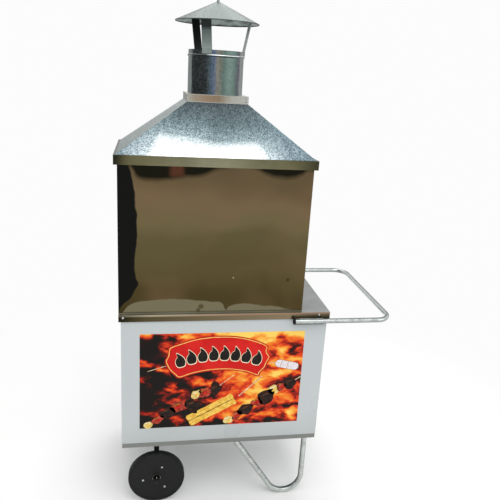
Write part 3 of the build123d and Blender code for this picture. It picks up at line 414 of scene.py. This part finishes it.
def collar_painted_reflection(tree, place, colour):
    """Painted reflection on the collar: straw in the middle, paler at its ends, with a painted
    highlight along its top and bottom edges.
    """
    low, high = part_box("flue_collar")
    at = split(tree, place)
    across = span(tree, at["X"], low.x, high.x)
    rise = span(tree, at["Z"], low.z, high.z)
    stops = [(0.0, "#e7e5df"), (0.12, "#d3c4ac"), (0.3, "#c8a88c"), (0.52, "#c2a98b")]
    tint = ramp(tree, across, stops + [(0.72, "#f0efe4"), (1.0, "#fbfdf6")])
    # A painted highlight along the collar's top and bottom edges.
    stops = [(0.0, "#ffffff"), (0.14, "#000000"), (0.86, "#000000"), (1.0, "#ffffff")]
    painted_edge_highlight = ramp(tree, rise, stops)
    tint = blend_colours(tree, painted_edge_highlight, tint, "#eceae2")
    return blend_colours(tree, 0.85, colour, tint)


BLOTS = [  # share along and up the sheet, radius in mm, colour
    (0.603, 0.252, 2.6, "#e6dcc0"),
    (0.455, 0.735, 2.4, "#2e2a1c"),
    (0.905, 0.235, 9.0, "#3b331f"),
    (0.435, 0.045, 13.0, "#4d4128"),
    (0.42, 0.02, 9.0, "#453a24"),
]


def hood_painted_reflections():
    """The front sheet: olive painted reflection, with the dark and light curves that a bowed mirror
    shows at its edges.

    Three curves bound a painted dark strip under the eave, a painted pale strip along the foot and
    a painted dark strip down the left. A brown patch of painted reflection lies in the top strip,
    and a painted highlight runs along the fold at the foot.
    """
    made, tree, shader, place = surface("stainless_steel_mirror_front", Metallic=1.0)
    low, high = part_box("hood_front_panel")
    at = split(tree, place)
    wobble = soft_noise(tree, place, 60, 1.0)
    shiver = span(tree, wobble, 0.0, 1.0, -0.012, 0.012)
    across = reckon(tree, "ADD", span(tree, at["X"], low.x, high.x), shiver)
    rise = reckon(tree, "ADD", span(tree, at["Z"], low.z, EAVE_FOOT), shiver)
    sweep = soft_noise(tree, place, 380, 1.5, Distortion=0.5)
    sway = span(tree, sweep, 0.25, 0.75, -0.14, 0.14)
    slope = reckon(tree, "MULTIPLY", across, 0.10)
    height = reckon(tree, "ADD", reckon(tree, "ADD", rise, sway), slope)
    # Painted reflection: broad olive waves, darker towards the foot.
    olive = ramp(
        tree,
        height,
        [
            (0.0, "#423820"),
            (0.16, "#4b4126"),
            (0.34, "#5b5033"),
            (0.56, "#5f563a"),
            (0.70, "#6f6345"),
            (0.82, "#746349"),
            (1.0, "#64553d"),
        ],
        "EASE",
    )
    # Large soft blots of warmer painted reflection.
    painted_reflection_blots = soft_noise(tree, place, 230)
    colour = blend_colours(tree, span(tree, painted_reflection_blots, 0.45, 0.75, 0.0, 0.45), olive, "#7a6248")
    top_line = curve(
        tree,
        across,
        [(0, 1), (0.06, 0.99), (0.10, 0.93), (0.2, 0.915), (0.34, 0.935), (0.42, 0.95), (0.52, 1.0),
         (0.69, 1.0), (0.76, 0.965), (0.86, 0.947), (0.93, 0.965), (0.97, 1.0), (1, 1)],
    )
    # The painted dark reflection strip under the eave.
    shade = span(tree, reckon(tree, "SUBTRACT", rise, top_line), -0.022, 0.014)
    colour = blend_colours(tree, shade, colour, "#1d1c14")
    # A brown patch of painted reflection in the top strip.
    left, right = span(tree, across, 0.25, 0.275), span(tree, across, 0.335, 0.31)
    copper = reckon(tree, "MULTIPLY", left, right)
    copper = reckon(tree, "MULTIPLY", copper, span(tree, rise, 0.915, 0.945))
    colour = blend_colours(tree, copper, colour, "#553526")
    foot_line = curve(
        tree,
        across,
        [(0, 0), (0.02, 0.01), (0.06, 0.065), (0.12, 0.085), (0.5, 0.08), (0.56, 0.06),
         (0.575, 0.02), (0.59, 0.046), (0.8, 0.042), (0.92, 0.02), (1, 0.005)],
    )
    # The painted pale reflection strip along the foot.
    painted_pale_foot_strip = span(tree, reckon(tree, "SUBTRACT", foot_line, rise), -0.003, 0.004)
    colour = blend_colours(tree, painted_pale_foot_strip, colour, "#777058")
    left_line = curve(
        tree,
        rise,
        [(0, 0.0), (0.06, 0.02), (0.12, 0.07), (0.17, 0.085), (0.21, 0.10), (0.25, 0.087),
         (0.55, 0.096), (0.8, 0.088), (0.92, 0.07), (1, 0.048)],
    )
    # The painted dark reflection strip down the left.
    painted_dark_left_strip = span(tree, reckon(tree, "SUBTRACT", left_line, across), -0.003, 0.003)
    colour = blend_colours(tree, painted_dark_left_strip, colour, "#191a18")
    for u, v, radius_mm, tint in BLOTS:
        spot = Vector((low.x + u * (high.x - low.x), low.y, low.z + v * (EAVE_FOOT - low.z)))
        off = add(tree, "VectorMath", {0: place, 1: spot}, operation="DISTANCE").outputs["Value"]
        near = span(tree, off, radius_mm * MM, radius_mm * 0.5 * MM, 0.0, 0.8)
        colour = blend_colours(tree, near, colour, tint)
    # A painted highlight along the fold at the very foot.
    foot = span(tree, at["Z"], low.z + 0.004, low.z + 0.002)
    colour = blend_colours(tree, foot, colour, "#a29a80")
    tree.links.new(colour, shader.inputs["Base Color"])
    hazy = soft_noise(tree, place, 130, 4.0)
    tree.links.new(span(tree, hazy, 0.0, 1.0, 0.06, 0.2), shader.inputs["Roughness"])
    dent(tree, shader, sweep, 4.0, 0.6)
    return made


# The hood front, eave band, worktop band and collar carry painted reflection; the front also
# painted highlight.
mirror_front = hood_painted_reflections()
hood_side = stainless("stainless_steel_hood", "#6d6856", "#8f8a78", "z")
eave_steel = stainless("stainless_steel_eave", "#8f8f74", "#aaa78a", "x", paint=eave_painted_reflection)
worktop_steel = stainless(
    "stainless_steel_worktop", "#8b8e8c", "#a2a5a3", "x", (0.2, 0.4), band_painted_reflection
)
collar_steel = stainless(
    "stainless_steel_collar", "#a99c8a", "#d3cfc4", "x", (0.2, 0.34), collar_painted_reflection
)
print("stainless sheet in five finishes")

# %% [markdown]
# **Paint.** The cabinet is sprayed with white gloss enamel straight onto the sheet. Close up it has
# a fine orange-peel skin, and it is a little cooler and greyer towards the foot, where road dust
# settles. The base frame is brushed with satin grey primer, which shows its strokes.


# %% Painted sheet
def painted(name, clean, dusty, rough, peel_mm, coat=0.0, foot=(0.29, 0.50)):
    """Sprayed paint, dusty below the first height of foot and clean above the second."""
    made, tree, shader, place = surface(name, Coat_Weight=coat, Coat_Roughness=0.12)
    at = split(tree, place)
    patches = soft_noise(tree, place, 300, 1.0)
    dust = reckon(tree, "ADD", span(tree, at["Z"], *foot), patches)
    share = ramp(tree, dust, [(0.25, "#ffffff"), (0.95, "#000000")])
    colour = blend_colours(tree, share, clean, dusty)
    tree.links.new(colour, shader.inputs["Base Color"])
    gloss = span(tree, patches, 0.0, 1.0, rough, rough + 0.15)
    tree.links.new(gloss, shader.inputs["Roughness"])
    peel = soft_noise(tree, place, peel_mm, 1.0)
    dent(tree, shader, peel, 0.05, 0.3)
    return made


white_enamel = painted("white_enamel_paint", "#bcc2c3", "#a9afae", 0.22, 2.5, coat=0.3)
grey_primer = painted("grey_primer_paint", "#777a76", "#5a5c57", 0.45, 4.0, foot=(0.255, 0.30))
print("two paints")

# %% [markdown]
# **Tube, wire and bolts.** The handle and legs are galvanised tube, drawn smooth, so the zinc shows
# as soft grey with fine lines along it. Bolts and hinges are zinc plated, which is bluer and
# brighter. The grill is chromed wire, browned by fire. The brazier is plain steel that charcoal has
# blackened and rusted.


# %% Tube, plated and fired steel
def handle_painted_light(tree, place, colour):
    """Painted light on the handle: a painted highlight along its top and painted shade along its
    underside.
    """
    low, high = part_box("handle")
    at = split(tree, place)
    rise = span(tree, at["Z"], low.z, high.z)
    stops = [(0.0, "#33383a"), (0.22, "#5d6364"), (0.36, "#c9cdcc"), (0.62, "#ffffff")]
    tint = ramp(tree, rise, stops + [(0.9, "#eef1f0"), (1.0, "#8f9594")])
    return blend_colours(tree, 0.9, colour, tint, "MULTIPLY")


def leg_painted_light(tree, place, colour):
    """Painted light on the legs: painted highlights on their outer and inner sides, and painted
    shade in between.
    """
    low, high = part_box("front_leg")
    at = split(tree, place)
    round_it = span(tree, size_of(tree, at["Y"]), -high.y, -low.y)
    stops = [(0.0, "#f2f4f3"), (0.3, "#b4b9b7"), (0.5, "#4a504f"), (0.68, "#8d9391")]
    tint = ramp(tree, round_it, stops + [(0.86, "#dfe3e1"), (1.0, "#ffffff")])
    return blend_colours(tree, 0.9, colour, tint, "MULTIPLY")


def zinc_tube(name, dark, bright, rough, paint=None):
    """A smooth metal with streaks, such as drawn, plated or oiled steel."""
    made, tree, shader, place = surface(name, Metallic=1.0)
    streaks = soft_noise(tree, place, 22, 6.0, Roughness=0.7)
    tone = ramp(tree, streaks, [(0.3, dark), (0.65, bright)])
    if paint:
        tone = paint(tree, place, tone)
    tree.links.new(tone, shader.inputs["Base Color"])
    gloss = span(tree, streaks, 0.0, 1.0, rough - 0.1, rough + 0.15)
    tree.links.new(gloss, shader.inputs["Roughness"])
    pits = soft_noise(tree, place, 1.5)
    dent(tree, shader, pits, 0.03, 0.3)
    return made


def fired(name, black, ash, rust):
    """Steel from the fire: black, then rust, then grey ash where the blots are strongest."""
    made, tree, shader, place = surface(name, Metallic=0.4, Roughness=0.8)
    soot = soft_noise(tree, place, 35, 8.0, Roughness=0.65)
    tone = ramp(tree, soot, [(0.35, black), (0.55, rust), (0.75, ash)])
    tree.links.new(tone, shader.inputs["Base Color"])
    scale = add(tree, "TexVoronoi", {"Vector": place, "Scale": per_mm(6)})
    dent(tree, shader, scale.outputs["Distance"], 0.3, 0.5)
    return made


# The handle and legs carry painted highlight and painted shade.
handle_zinc = zinc_tube("galvanised_steel_tube", "#b4b9b7", "#dfe3e1", 0.2, handle_painted_light)
leg_zinc = zinc_tube("galvanised_steel_leg", "#a6abaa", "#d6dad8", 0.26, leg_painted_light)
plated_steel = zinc_tube("zinc_plated_steel", "#9c9fa3", "#d6d9dc", 0.24)
black_oxide = zinc_tube("black_oxide_steel", "#1a1a1a", "#34332f", 0.35)
bush_bronze = zinc_tube("sintered_bronze", "#8a6a3c", "#b08a50", 0.4)
grill_chrome = zinc_tube("chromed_wire", "#6d6459", "#b6b3ad", 0.3)
fired_steel = fired("fired_steel", "#0e0d0c", "#4a4642", "#2a1b12")
print("seven metals")

# %% [markdown]
# **Rubber and plastic.** The tyre is solid black rubber, which dries to a dull grey bloom. The
# wheel disc is moulded black polypropylene, a little shinier, with dust in its texture. The door
# knobs are black phenolic, pressed hot in a polished mould, so they are the glossiest.


# %% Rubber and plastic
def moulded(name, black, dusty, rough, grit_mm):
    """Black rubber or plastic, dusty in blots, with grit of this size in its skin."""
    made, tree, shader, place = surface(name, IOR=1.5, Specular_IOR_Level=0.35)
    patches = soft_noise(tree, place, 30, 7.0, Roughness=0.7)
    tone = ramp(tree, patches, [(0.5, black), (0.74, dusty)])
    tree.links.new(tone, shader.inputs["Base Color"])
    gloss = span(tree, patches, 0.0, 1.0, rough, rough + 0.25)
    tree.links.new(gloss, shader.inputs["Roughness"])
    grit = soft_noise(tree, place, grit_mm)
    dent(tree, shader, grit, 0.06, 0.4)
    return made


tyre_rubber = moulded("solid_rubber", "#0c0d0d", "#232425", 0.65, 1.2)
wheel_plastic = moulded("moulded_polypropylene", "#030404", "#0f1111", 0.5, 2.0)
knob_phenolic = moulded("phenolic_knob", "#080808", "#1a1a1a", 0.12, 5.0)
plug_rubber = moulded("rubber_plug", "#0a0a0a", "#202020", 0.55, 2.0)
print("four black finishes")

# %% [markdown]
# **The picture** is a self-adhesive vinyl print of glowing embers. Embers are dark lumps with light
# between them, brightest where the air gets in. A noise pattern whose coordinates are pushed about
# by a second noise makes licking shapes, and a ramp from black through red and orange to yellow
# turns heat into colour. The left side is cooler, and the top edge runs hot.


# %% Ember print
VINYL = {"Roughness": 0.5, "Specular_IOR_Level": 0.15}


def ember_print():
    """Glowing embers over the whole picture."""
    made, tree, shader, place = surface("printed_vinyl_embers", **VINYL)
    at = split(tree, place)
    feeds = {"Vector": place, "Rotation": (0, radians(24), 0), "Scale": (1, 1, 1.7)}
    lean = add(tree, "Mapping", feeds)
    feeds = {"Vector": lean.outputs[0], "Scale": per_mm(85), "Detail": 3.0}
    push = add(tree, "TexNoise", feeds)
    shove = add(tree, "VectorMath", {0: push.outputs["Color"], "Scale": 0.09}, operation="SCALE")
    moved = add(tree, "VectorMath", {0: lean.outputs[0], 1: shove.outputs[0]}, operation="ADD")
    licks = soft_noise(tree, moved.outputs[0], 78, 3.0)
    feeds = {"Vector": moved.outputs[0], "Scale": per_mm(70)}
    lumps = add(tree, "TexVoronoi", feeds, feature="SMOOTH_F1")
    glow = reckon(tree, "MULTIPLY", licks, 1.35)
    cool = reckon(tree, "MULTIPLY", lumps.outputs["Distance"], 0.30)
    heat = reckon(tree, "SUBTRACT", glow, cool)
    low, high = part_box("front_graphic")
    across = span(tree, at["X"], low.x, high.x)
    rise = span(tree, at["Z"], low.z, high.z)
    points = [(0, 0.26), (0.15, 0.35), (0.35, 0.40), (0.55, 0.57), (0.75, 0.60), (1, 0.50)]
    draught = curve(tree, across, points)
    points = [(0, 0.42), (0.3, 0.48), (0.6, 0.5), (0.92, 0.56), (0.96, 0.68), (1, 0.84)]
    crown = curve(tree, rise, points)
    heat = reckon(tree, "ADD", heat, reckon(tree, "ADD", draught, crown))
    heat = reckon(tree, "SUBTRACT", heat, 1.04)
    colour = ramp(
        tree,
        heat,
        [
            (0.30, "#14100d"),
            (0.38, "#33100a"),
            (0.45, "#8f1c10"),
            (0.52, "#d63a18"),
            (0.60, "#ea6a1f"),
            (0.70, "#f3a03a"),
            (0.82, "#f9cf62"),
        ],
    )
    tree.links.new(colour, shader.inputs["Base Color"])
    skin = soft_noise(tree, place, 3)
    dent(tree, shader, skin, 0.02, 0.2)
    return made


def ink(name, first, second, blot_mm=9.0):
    """Flat print colour with the small mottle that ink leaves on vinyl."""
    made, tree, shader, place = surface("printed_vinyl_" + name, **VINYL)
    mottle = soft_noise(tree, place, blot_mm, 3.0)
    tone = ramp(tree, mottle, [(0.38, first), (0.62, second)])
    tree.links.new(tone, shader.inputs["Base Color"])
    dent(tree, shader, mottle, 0.02, 0.2)
    return made


embers = ember_print()
INKS = {
    "red": ink("plaque_red", "#c61a17", "#d4221d", 60.0),
    "shade": ink("plaque_shade", "#b01a12", "#c2241a", 60.0),
    "gold": ink("gold_line", "#f2b24c", "#f9d27c"),
    "cream": ink("cream_line", "#e9d9b4", "#f6edd0"),
    "black": ink("black_shape", "#141210", "#231e1a"),
    "meat": ink("grilled_meat", "#1a0d09", "#38201a", 9.0),
    "brown": ink("roast_brown", "#4a2a1c", "#6a3d26", 5.0),
    "ham": ink("smoked_ham", "#7a2016", "#c2503a", 8.0),
    "onion": ink("onion", "#cfae5e", "#ecd894", 12.0),
    "bread": ink("garlic_bread", "#dca63c", "#f1cc60", 14.0),
    "crust": ink("bread_crust", "#8a5a1c", "#b9802c", 4.0),
    "wood": ink("white_grip", "#cfc6cb", "#f0eaee", 6.0),
    "steel": ink("skewer_steel", "#b98b6a", "#f0d9b8", 12.0),
}
print("ember print and", len(INKS), "inks")

# %% [markdown]
# ## The picture's shapes
#
# On the embers lie a red plaque with a gold line, a row of flames, two skewers of grilled meat, two
# sticks of garlic bread and a white grip. Vinyl prints are flat, so each shape is a thin film with
# a smooth outline. A shape that lies on another is a tenth of a millimetre further forward. Places
# on the picture are in millimetres from its lower left corner.


# %% Film and outline helpers
def smooth(points, steps):
    """A closed curve through the points, as a list of closer points."""
    out = []
    for i in range(len(points)):
        a, b, c, d = (Vector(points[(i + k) % len(points)]) for k in (-1, 0, 1, 2))
        for n in range(steps):
            t = n / steps
            bend = (2 * a - 5 * b + 4 * c - d) * t**2 + (3 * b - a - 3 * c + d) * t**3
            out.append(0.5 * (2 * b + (c - a) * t + bend))
    return out


def inset(outline, width):
    """The outline drawn in by this width; its points run clockwise."""
    out = []
    for i, spot in enumerate(outline):
        run = outline[(i + 1) % len(outline)] - outline[i - 1]
        out.append(spot + Vector((run.y, -run.x)).normalized() * width)
    return out


FILMS = {name: bmesh.new() for name in INKS}
picture_low, picture_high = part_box("front_graphic")


def film(ink_name, level, outline):
    """A flat closed film in one ink, with its front this many tenths of a millimetre forward."""
    mesh = FILMS[ink_name]
    rings = []
    for forward in (level * 0.1 * MM, -0.05 * MM):
        y = picture_low.y - forward
        spots = [(picture_low.x + u * MM, y, picture_low.z + v * MM) for u, v in outline]
        rings.append([mesh.verts.new(spot) for spot in spots])
    front, back = rings
    mesh.faces.new(front)
    mesh.faces.new(back[::-1])
    for i in range(len(front)):
        j = (i + 1) % len(front)
        mesh.faces.new((front[j], front[i], back[i], back[j]))


def bar(ink_name, level, start, end, width):
    """A straight strip of film."""
    start, end = Vector(start), Vector(end)
    side = (end - start).normalized().orthogonal() * width / 2
    film(ink_name, level, [start + side, end + side, end - side, start - side])


def lump(ink_name, level, middle, size, tilt, rough, seed):
    """A rounded piece of food with an uneven outline."""
    points = []
    for i in range(11):
        angle = -2 * pi * i / 11
        probe = Vector((cos(angle), sin(angle), seed + middle[0] * 0.37))
        swell = 1 + rough * noise.noise(probe) * 2
        spot = Vector((cos(angle) * size[0] / 2 * swell, sin(angle) * size[1] / 2 * swell))
        points.append(Matrix.Rotation(radians(tilt), 2) @ spot + Vector(middle))
    film(ink_name, level, smooth(points, 4))


print("the picture is", round((picture_high.x - picture_low.x) / MM), "mm wide")

# %% [markdown]
# The plaque is an arch with notched ends. Its gold line is made by laying a gold film on the dark
# red one, and a smaller red film on that. Eight small flames stand along the arch.

# %% Plaque and flames
PLAQUE = [(104, 335), (114, 352), (158, 368), (208, 383), (256, 390), (302, 392), (350, 390)]
PLAQUE += [(398, 382), (444, 368), (480, 352), (492, 338), (489, 320), (502, 296), (491, 268)]
PLAQUE += [(484, 248), (468, 230), (456, 212), (410, 230), (356, 241), (302, 244), (248, 240)]
PLAQUE += [(198, 230), (150, 215), (128, 231), (110, 250), (98, 272), (93, 292), (102, 314)]
edge = smooth(PLAQUE, 5)
film("shade", 1, edge)
film("gold", 2, inset(edge, 5))
film("red", 3, inset(edge, 8))

FLAME = [(0, -29), (-13, -26), (-18, -12), (-15, 3), (-6, 14)]
FLAME += [(-5, 30), (7, 20), (16, 6), (19, -10), (13, -26)]
ARCH_X, ARCH_Y, ARCH_HALF_WIDTH, ARCH_DROP = 300, 317, 150, 24
for i in range(8):
    share = (i - 3.5) / 3.5
    foot = Vector((ARCH_X + ARCH_HALF_WIDTH * share, ARCH_Y - ARCH_DROP * share**2))
    lean = Matrix.Rotation(-radians(15) * share, 2)
    for ink_name, level, grow in (("cream", 4, 1.12), ("black", 5, 1.0)):
        film(ink_name, level, smooth([foot + lean @ (Vector(p) * grow) for p in FLAME], 5))
print("plaque and eight flames")

# %% [markdown]
# Skewers: thin steel bars first, then the food threaded on them. Meat is nearly black with brown
# patches, ham is red, and onion is pale. The bread is two strips with a dark seam and herbs.

# %% Skewers, bread and grip
bar("steel", 1, (29, 249), (110, 274), 2.5)
bar("steel", 1, (385, 128), (474, 212), 4.5)
bar("steel", 1, (498, 272), (540, 267), 3.0)
bar("steel", 1, (291, 165), (362, 222), 2.5)
bar("steel", 1, (588, 175), (631, 205), 4.0)

FOOD = [
    ("onion", (32, 16), (32, 26)), ("ham", (71, 37), (40, 24)), ("meat", (103, 66), (52, 40)),
    ("ham", (147, 92), (56, 38)), ("meat", (204, 97), (52, 62)), ("onion", (217, 143), (38, 32)),
    ("ham", (249, 150), (42, 34)), ("meat", (291, 162), (44, 50)), ("onion", (347, 20), (36, 30)),
    ("ham", (380, 40), (38, 28)), ("meat", (418, 66), (52, 42)), ("ham", (458, 98), (44, 36)),
    ("meat", (498, 122), (58, 46)), ("onion", (525, 150), (38, 30)), ("ham", (556, 164), (34, 28)),
    ("meat", (589, 176), (44, 34)),
]
for i, (ink_name, middle, size) in enumerate(FOOD):
    lump(ink_name, 2, middle, (size[0] * 1.15, size[1] * 1.18), 30, 0.3, i * 3.1)
    glint = {"meat": "brown", "ham": "crust", "onion": "cream"}[ink_name]
    deep = {"meat": "black", "ham": "shade", "onion": "bread"}[ink_name]
    over = Vector(middle)
    lump(deep, 3, over + Vector((2, -2)), (size[0] * 0.5, size[1] * 0.36), 35, 0.25, i * 1.7)
    lump(glint, 4, over + Vector((-6, 8)), (size[0] * 0.5, size[1] * 0.13), 25, 0.3, i * 2.3)

BREAD_START, BREAD_STEP = Vector((190, 24)), 22
run = Vector((201, 107)).normalized()
aside = Vector((-run.y, run.x))
for shift in (13, -13):
    start = BREAD_START + aside * shift
    wave = [(d, 11 + 1.5 * (d % 2)) for d in range(10)]
    wave += [(d, -half) for d, half in reversed(wave)]
    film("bread", 2, smooth([start + run * (d * BREAD_STEP) + aside * half for d, half in wave], 3))
    for d in range(9):
        speck = start + run * (10 + d * BREAD_STEP) + aside * (7 * sin(d * 2.1))
        lump("crust", 3, speck, (4.5, 2.2), 28, 0.3, d * 1.3)
bar("meat", 3, BREAD_START, BREAD_START + run * 190, 2.2)

GRIP_MIDDLE, GRIP_TURN = Vector((571, 259)), Matrix.Rotation(radians(-13), 2)
GRIP_HALF, GRIP_ROUND = 32, 16  # half the length between the round ends, and their radius


def grip(grow):
    """The grip's rounded outline, as wide as the grip all round and this much more."""
    out = []
    for end, first in ((1, 90), (-1, -90)):
        for n in range(7):
            angle = radians(first - n * 30)
            reach = GRIP_ROUND + grow
            out.append(Vector((end * GRIP_HALF + cos(angle) * reach, sin(angle) * reach)))
    return [GRIP_TURN @ p + GRIP_MIDDLE for p in out]


film("crust", 2, grip(1.5))
film("wood", 3, grip(0.0))
for along in (-24, 2):
    foot, head = (GRIP_MIDDLE + GRIP_TURN @ Vector((along, side)) for side in (-15, 15))
    bar("crust", 4, foot, head, 1.6)
print(len(FOOD), "pieces of food, two bread sticks and a grip")

# %% [markdown]
# Each ink becomes one piece that belongs to the cart's body, as the print does.


# %% Lay the films
def show(name, mesh, finish):
    """Turns a drawn mesh into an object with this finish."""
    data = bpy.data.meshes.new(name)
    mesh.to_mesh(data)
    mesh.free()
    shown = bpy.data.objects.new(name, data)
    bpy.context.scene.collection.objects.link(shown)
    data.materials.append(finish)
    return shown


for ink_name, mesh in FILMS.items():
    layer = show("print_" + ink_name, mesh, INKS[ink_name])
    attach(layer, "cart")
    print(layer.name, len(layer.data.polygons), "faces")

# %% [markdown]
# ## Bushes and plugs
#
# The handle's arms slide in two tubes. Each tube's inner end has a black guide bush, and each arm's
# end has a black plug, turned shapes like those on any tubular trolley.


# %% Bushes and plugs
def turned_x(name, profile, middle, finish, body, sides=40):
    """A ring or plug: a closed profile of (along x, radius) in mm, turned about the x direction."""
    mesh = bmesh.new()
    rings = []
    for n in range(sides):
        angle = 2 * pi * n / sides
        spots = [Vector((x, r * cos(angle), r * sin(angle))) * MM for x, r in profile]
        rings.append([mesh.verts.new(Vector(middle) + spot) for spot in spots])
    for n in range(sides):
        here, there = rings[n], rings[(n + 1) % sides]
        for i in range(len(profile)):
            j = (i + 1) % len(profile)
            mesh.faces.new((here[i], here[j], there[j], there[i])).smooth = True
    bmesh.ops.remove_doubles(mesh, verts=mesh.verts, dist=1e-7)
    bmesh.ops.recalc_face_normals(mesh, faces=mesh.faces)
    piece = show(name, mesh, finish)
    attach(piece, body)


sleeve_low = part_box("handle_sleeves")[0]
handle_low, handle_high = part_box("handle")
height = (handle_low.z + handle_high.z) / 2
RING = [(0, 9.75), (0, 12.5), (-5, 12.5), (-6.5, 11.8), (-7, 10.8), (-6.5, 9.75)]
PLUG = [(2, 0.0), (2, 7.9), (0, 7.9), (-0.1, 9.3), (-2, 8.9), (-3.5, 6.5), (-4, 3.0), (-4, 0.0)]
arms = {"front": handle_low.y + HANDLE_RADIUS, "rear": handle_high.y - HANDLE_RADIUS}
for side, across in arms.items():
    guide, plug = (sleeve_low.x, across, height), (handle_low.x, across, height)
    turned_x("guide_bush_" + side, RING, guide, plug_rubber, "cart")
    turned_x("arm_plug_" + side, PLUG, plug, plug_rubber, "push_handle")
print("two guide bushes and two plugs")

# %% [markdown]
# ## Finishes on the pieces
#
# Each steel piece gets its finish by name. The sheet edges get a small bevel, because a folded or
# sheared edge is never razor sharp, and the bevel catches a thin line of light.

# %% Give each piece its finish
FINISH = {
    spangled_roof: ["roof_front_sheet"],
    spangled_sides: ["roof_left_sheet", "roof_right_sheet", "roof_rear_sheet"],
    spangled_pipe: ["flue_pipe"],
    smooth_cap: ["cap_cone"],
    strap_zinc: ["cap_straps"],
    inner_zinc: ["flue_rivets", "ash_drawer", "cabinet_floor", "drawer_runners"],
    mirror_front: ["hood_front_panel"],
    hood_side: ["hood_left_panel", "hood_right_panel", "hood_rear_lintel"],
    eave_steel: ["eave_band"],
    collar_steel: ["flue_collar"],
    worktop_steel: ["worktop"],
    white_enamel: [
        "cabinet_front_panel",
        "cabinet_left_panel",
        "cabinet_right_panel",
        "rear_vent_panel",
        "rear_cross_rails",
        "left_door",
        "right_door",
        "drawer_front",
    ],
    grey_primer: ["base_rails", "axle_cross_tube"],
    handle_zinc: ["handle", "handle_sleeves"],
    leg_zinc: ["front_leg", "rear_leg"],
    black_oxide: ["axle", "axle_nuts_and_washers"],
    plated_steel: [
        "axle_split_pins",
        "front_wheel_hub",
        "rear_wheel_hub",
        "front_wheel_bolts",
        "rear_wheel_bolts",
        "worktop_screws",
        "handle_clamp_screws",
        "hinge_fixed_leaves",
        "hinge_pins",
        "left_door_leaves",
        "right_door_leaves",
        "drawer_pull",
        "cap_finial",
    ],
    bush_bronze: ["front_wheel_bush", "rear_wheel_bush"],
    grill_chrome: ["grill"],
    fired_steel: ["brazier", "coal_grate"],
    tyre_rubber: ["front_wheel_tyre", "rear_wheel_tyre"],
    wheel_plastic: ["front_wheel_disc", "rear_wheel_disc", "axle_hangers"],
    knob_phenolic: ["left_door_knob", "right_door_knob"],
    embers: ["front_graphic"],
}
for finish, names in FINISH.items():
    for name in names:
        piece = nodes[name]
        if not piece.material_slots:
            piece.data.materials.append(finish)
        for place in piece.material_slots:
            place.material = finish
EDGED = ["hood_front_panel", "hood_left_panel", "hood_right_panel", "eave_band", "worktop"]
EDGED += ["flue_collar", "cabinet_front_panel", "cabinet_left_panel", "cabinet_right_panel"]
EDGED += ["drawer_front", "base_rails", "left_door", "right_door", "axle_hangers"]
EDGED += ["rear_vent_panel"]
for name in EDGED:
    soft = nodes[name].modifiers.new("folded_edges", "BEVEL")
    soft.width, soft.segments, soft.limit_method = 0.3 * MM, 2, "ANGLE"
    soft.angle_limit = radians(50)
left_over = set(nodes) - {name for names in FINISH.values() for name in names}
print("pieces without a finish:", sorted(left_over))

# %% [markdown]
# ## Light and floor
#
# A plain pale studio: a big soft light high in front, a weaker one on the right, and one from above
# and behind so that the roof's edges stand out. The metals mirror soft grey walls, and the view
# past the cart is plain white. The floor is matt paper that fades to the same white further out.


# %% Floor and lights
WHITE = "#fcfcfc"
FADE_START, FADE_END = 0.5, 1.9  # metres from the cart


def lamp(name, spot, aim, size, power):
    """A square white light of this size in metres and power in watts, turned to its aim."""
    glow = bpy.data.lights.new(name, "AREA")
    glow.size, glow.energy = size, power
    holder = bpy.data.objects.new(name, glow)
    holder.location = spot
    holder.rotation_euler = (Vector(aim) - Vector(spot)).to_track_quat("-Z", "Y").to_euler()
    bpy.context.scene.collection.objects.link(holder)


lamp("key_light", (0.2, -2.9, 4.3), (0, 0, 1.0), 2.6, 52)
lamp("fill_light", (3.0, -2.4, 2.2), (0, 0, 0.9), 2.5, 18)
lamp("top_light", (0.2, 1.8, 4.0), (0, 0, 1.0), 2.0, 30)

sky = bpy.data.worlds.new("studio")
sky.use_nodes = True
tree = sky.node_tree
seen = split(tree, add(tree, "TexCoord").outputs["Generated"])
stops = [(0.5, "#8f9190"), (0.56, "#b4b6b5"), (0.62, "#ffffff"), (0.8, "#ffffff")]
stops += [(0.9, "#d8dada"), (1.0, "#f4f4f4")]
walls = ramp(tree, span(tree, seen["Z"], -1.0, 1.0), stops)
straight = add(tree, "LightPath").outputs["Is Camera Ray"]
backdrop = blend_colours(tree, straight, walls, WHITE)
tree.links.new(backdrop, tree.nodes["Background"].inputs["Color"])
bpy.context.scene.world = sky
bpy.context.scene.view_settings.view_transform = "Standard"

paper, tree, shader, place = surface("studio_paper", Roughness=0.9)
pale = ramp(tree, soft_noise(tree, place, 400), [(0.3, "#f8f8f7"), (0.7, "#fbfbfa")])
tree.links.new(pale, shader.inputs["Base Color"])
reach = add(tree, "VectorMath", {0: place}, operation="LENGTH").outputs["Value"]
far_off = span(tree, reach, FADE_START, FADE_END)
white_glow = add(tree, "Emission", {"Color": linear(WHITE), "Strength": 1.0})
joined = add(tree, "MixShader", {0: far_off, 1: shader.outputs[0], 2: white_glow.outputs[0]})
tree.links.new(joined.outputs[0], tree.nodes["Material Output"].inputs["Surface"])
floor_mesh = bmesh.new()
bmesh.ops.create_grid(floor_mesh, x_segments=1, y_segments=1, size=12.0)
floor = show("studio_floor", floor_mesh, paper)
print("floor and three lights")
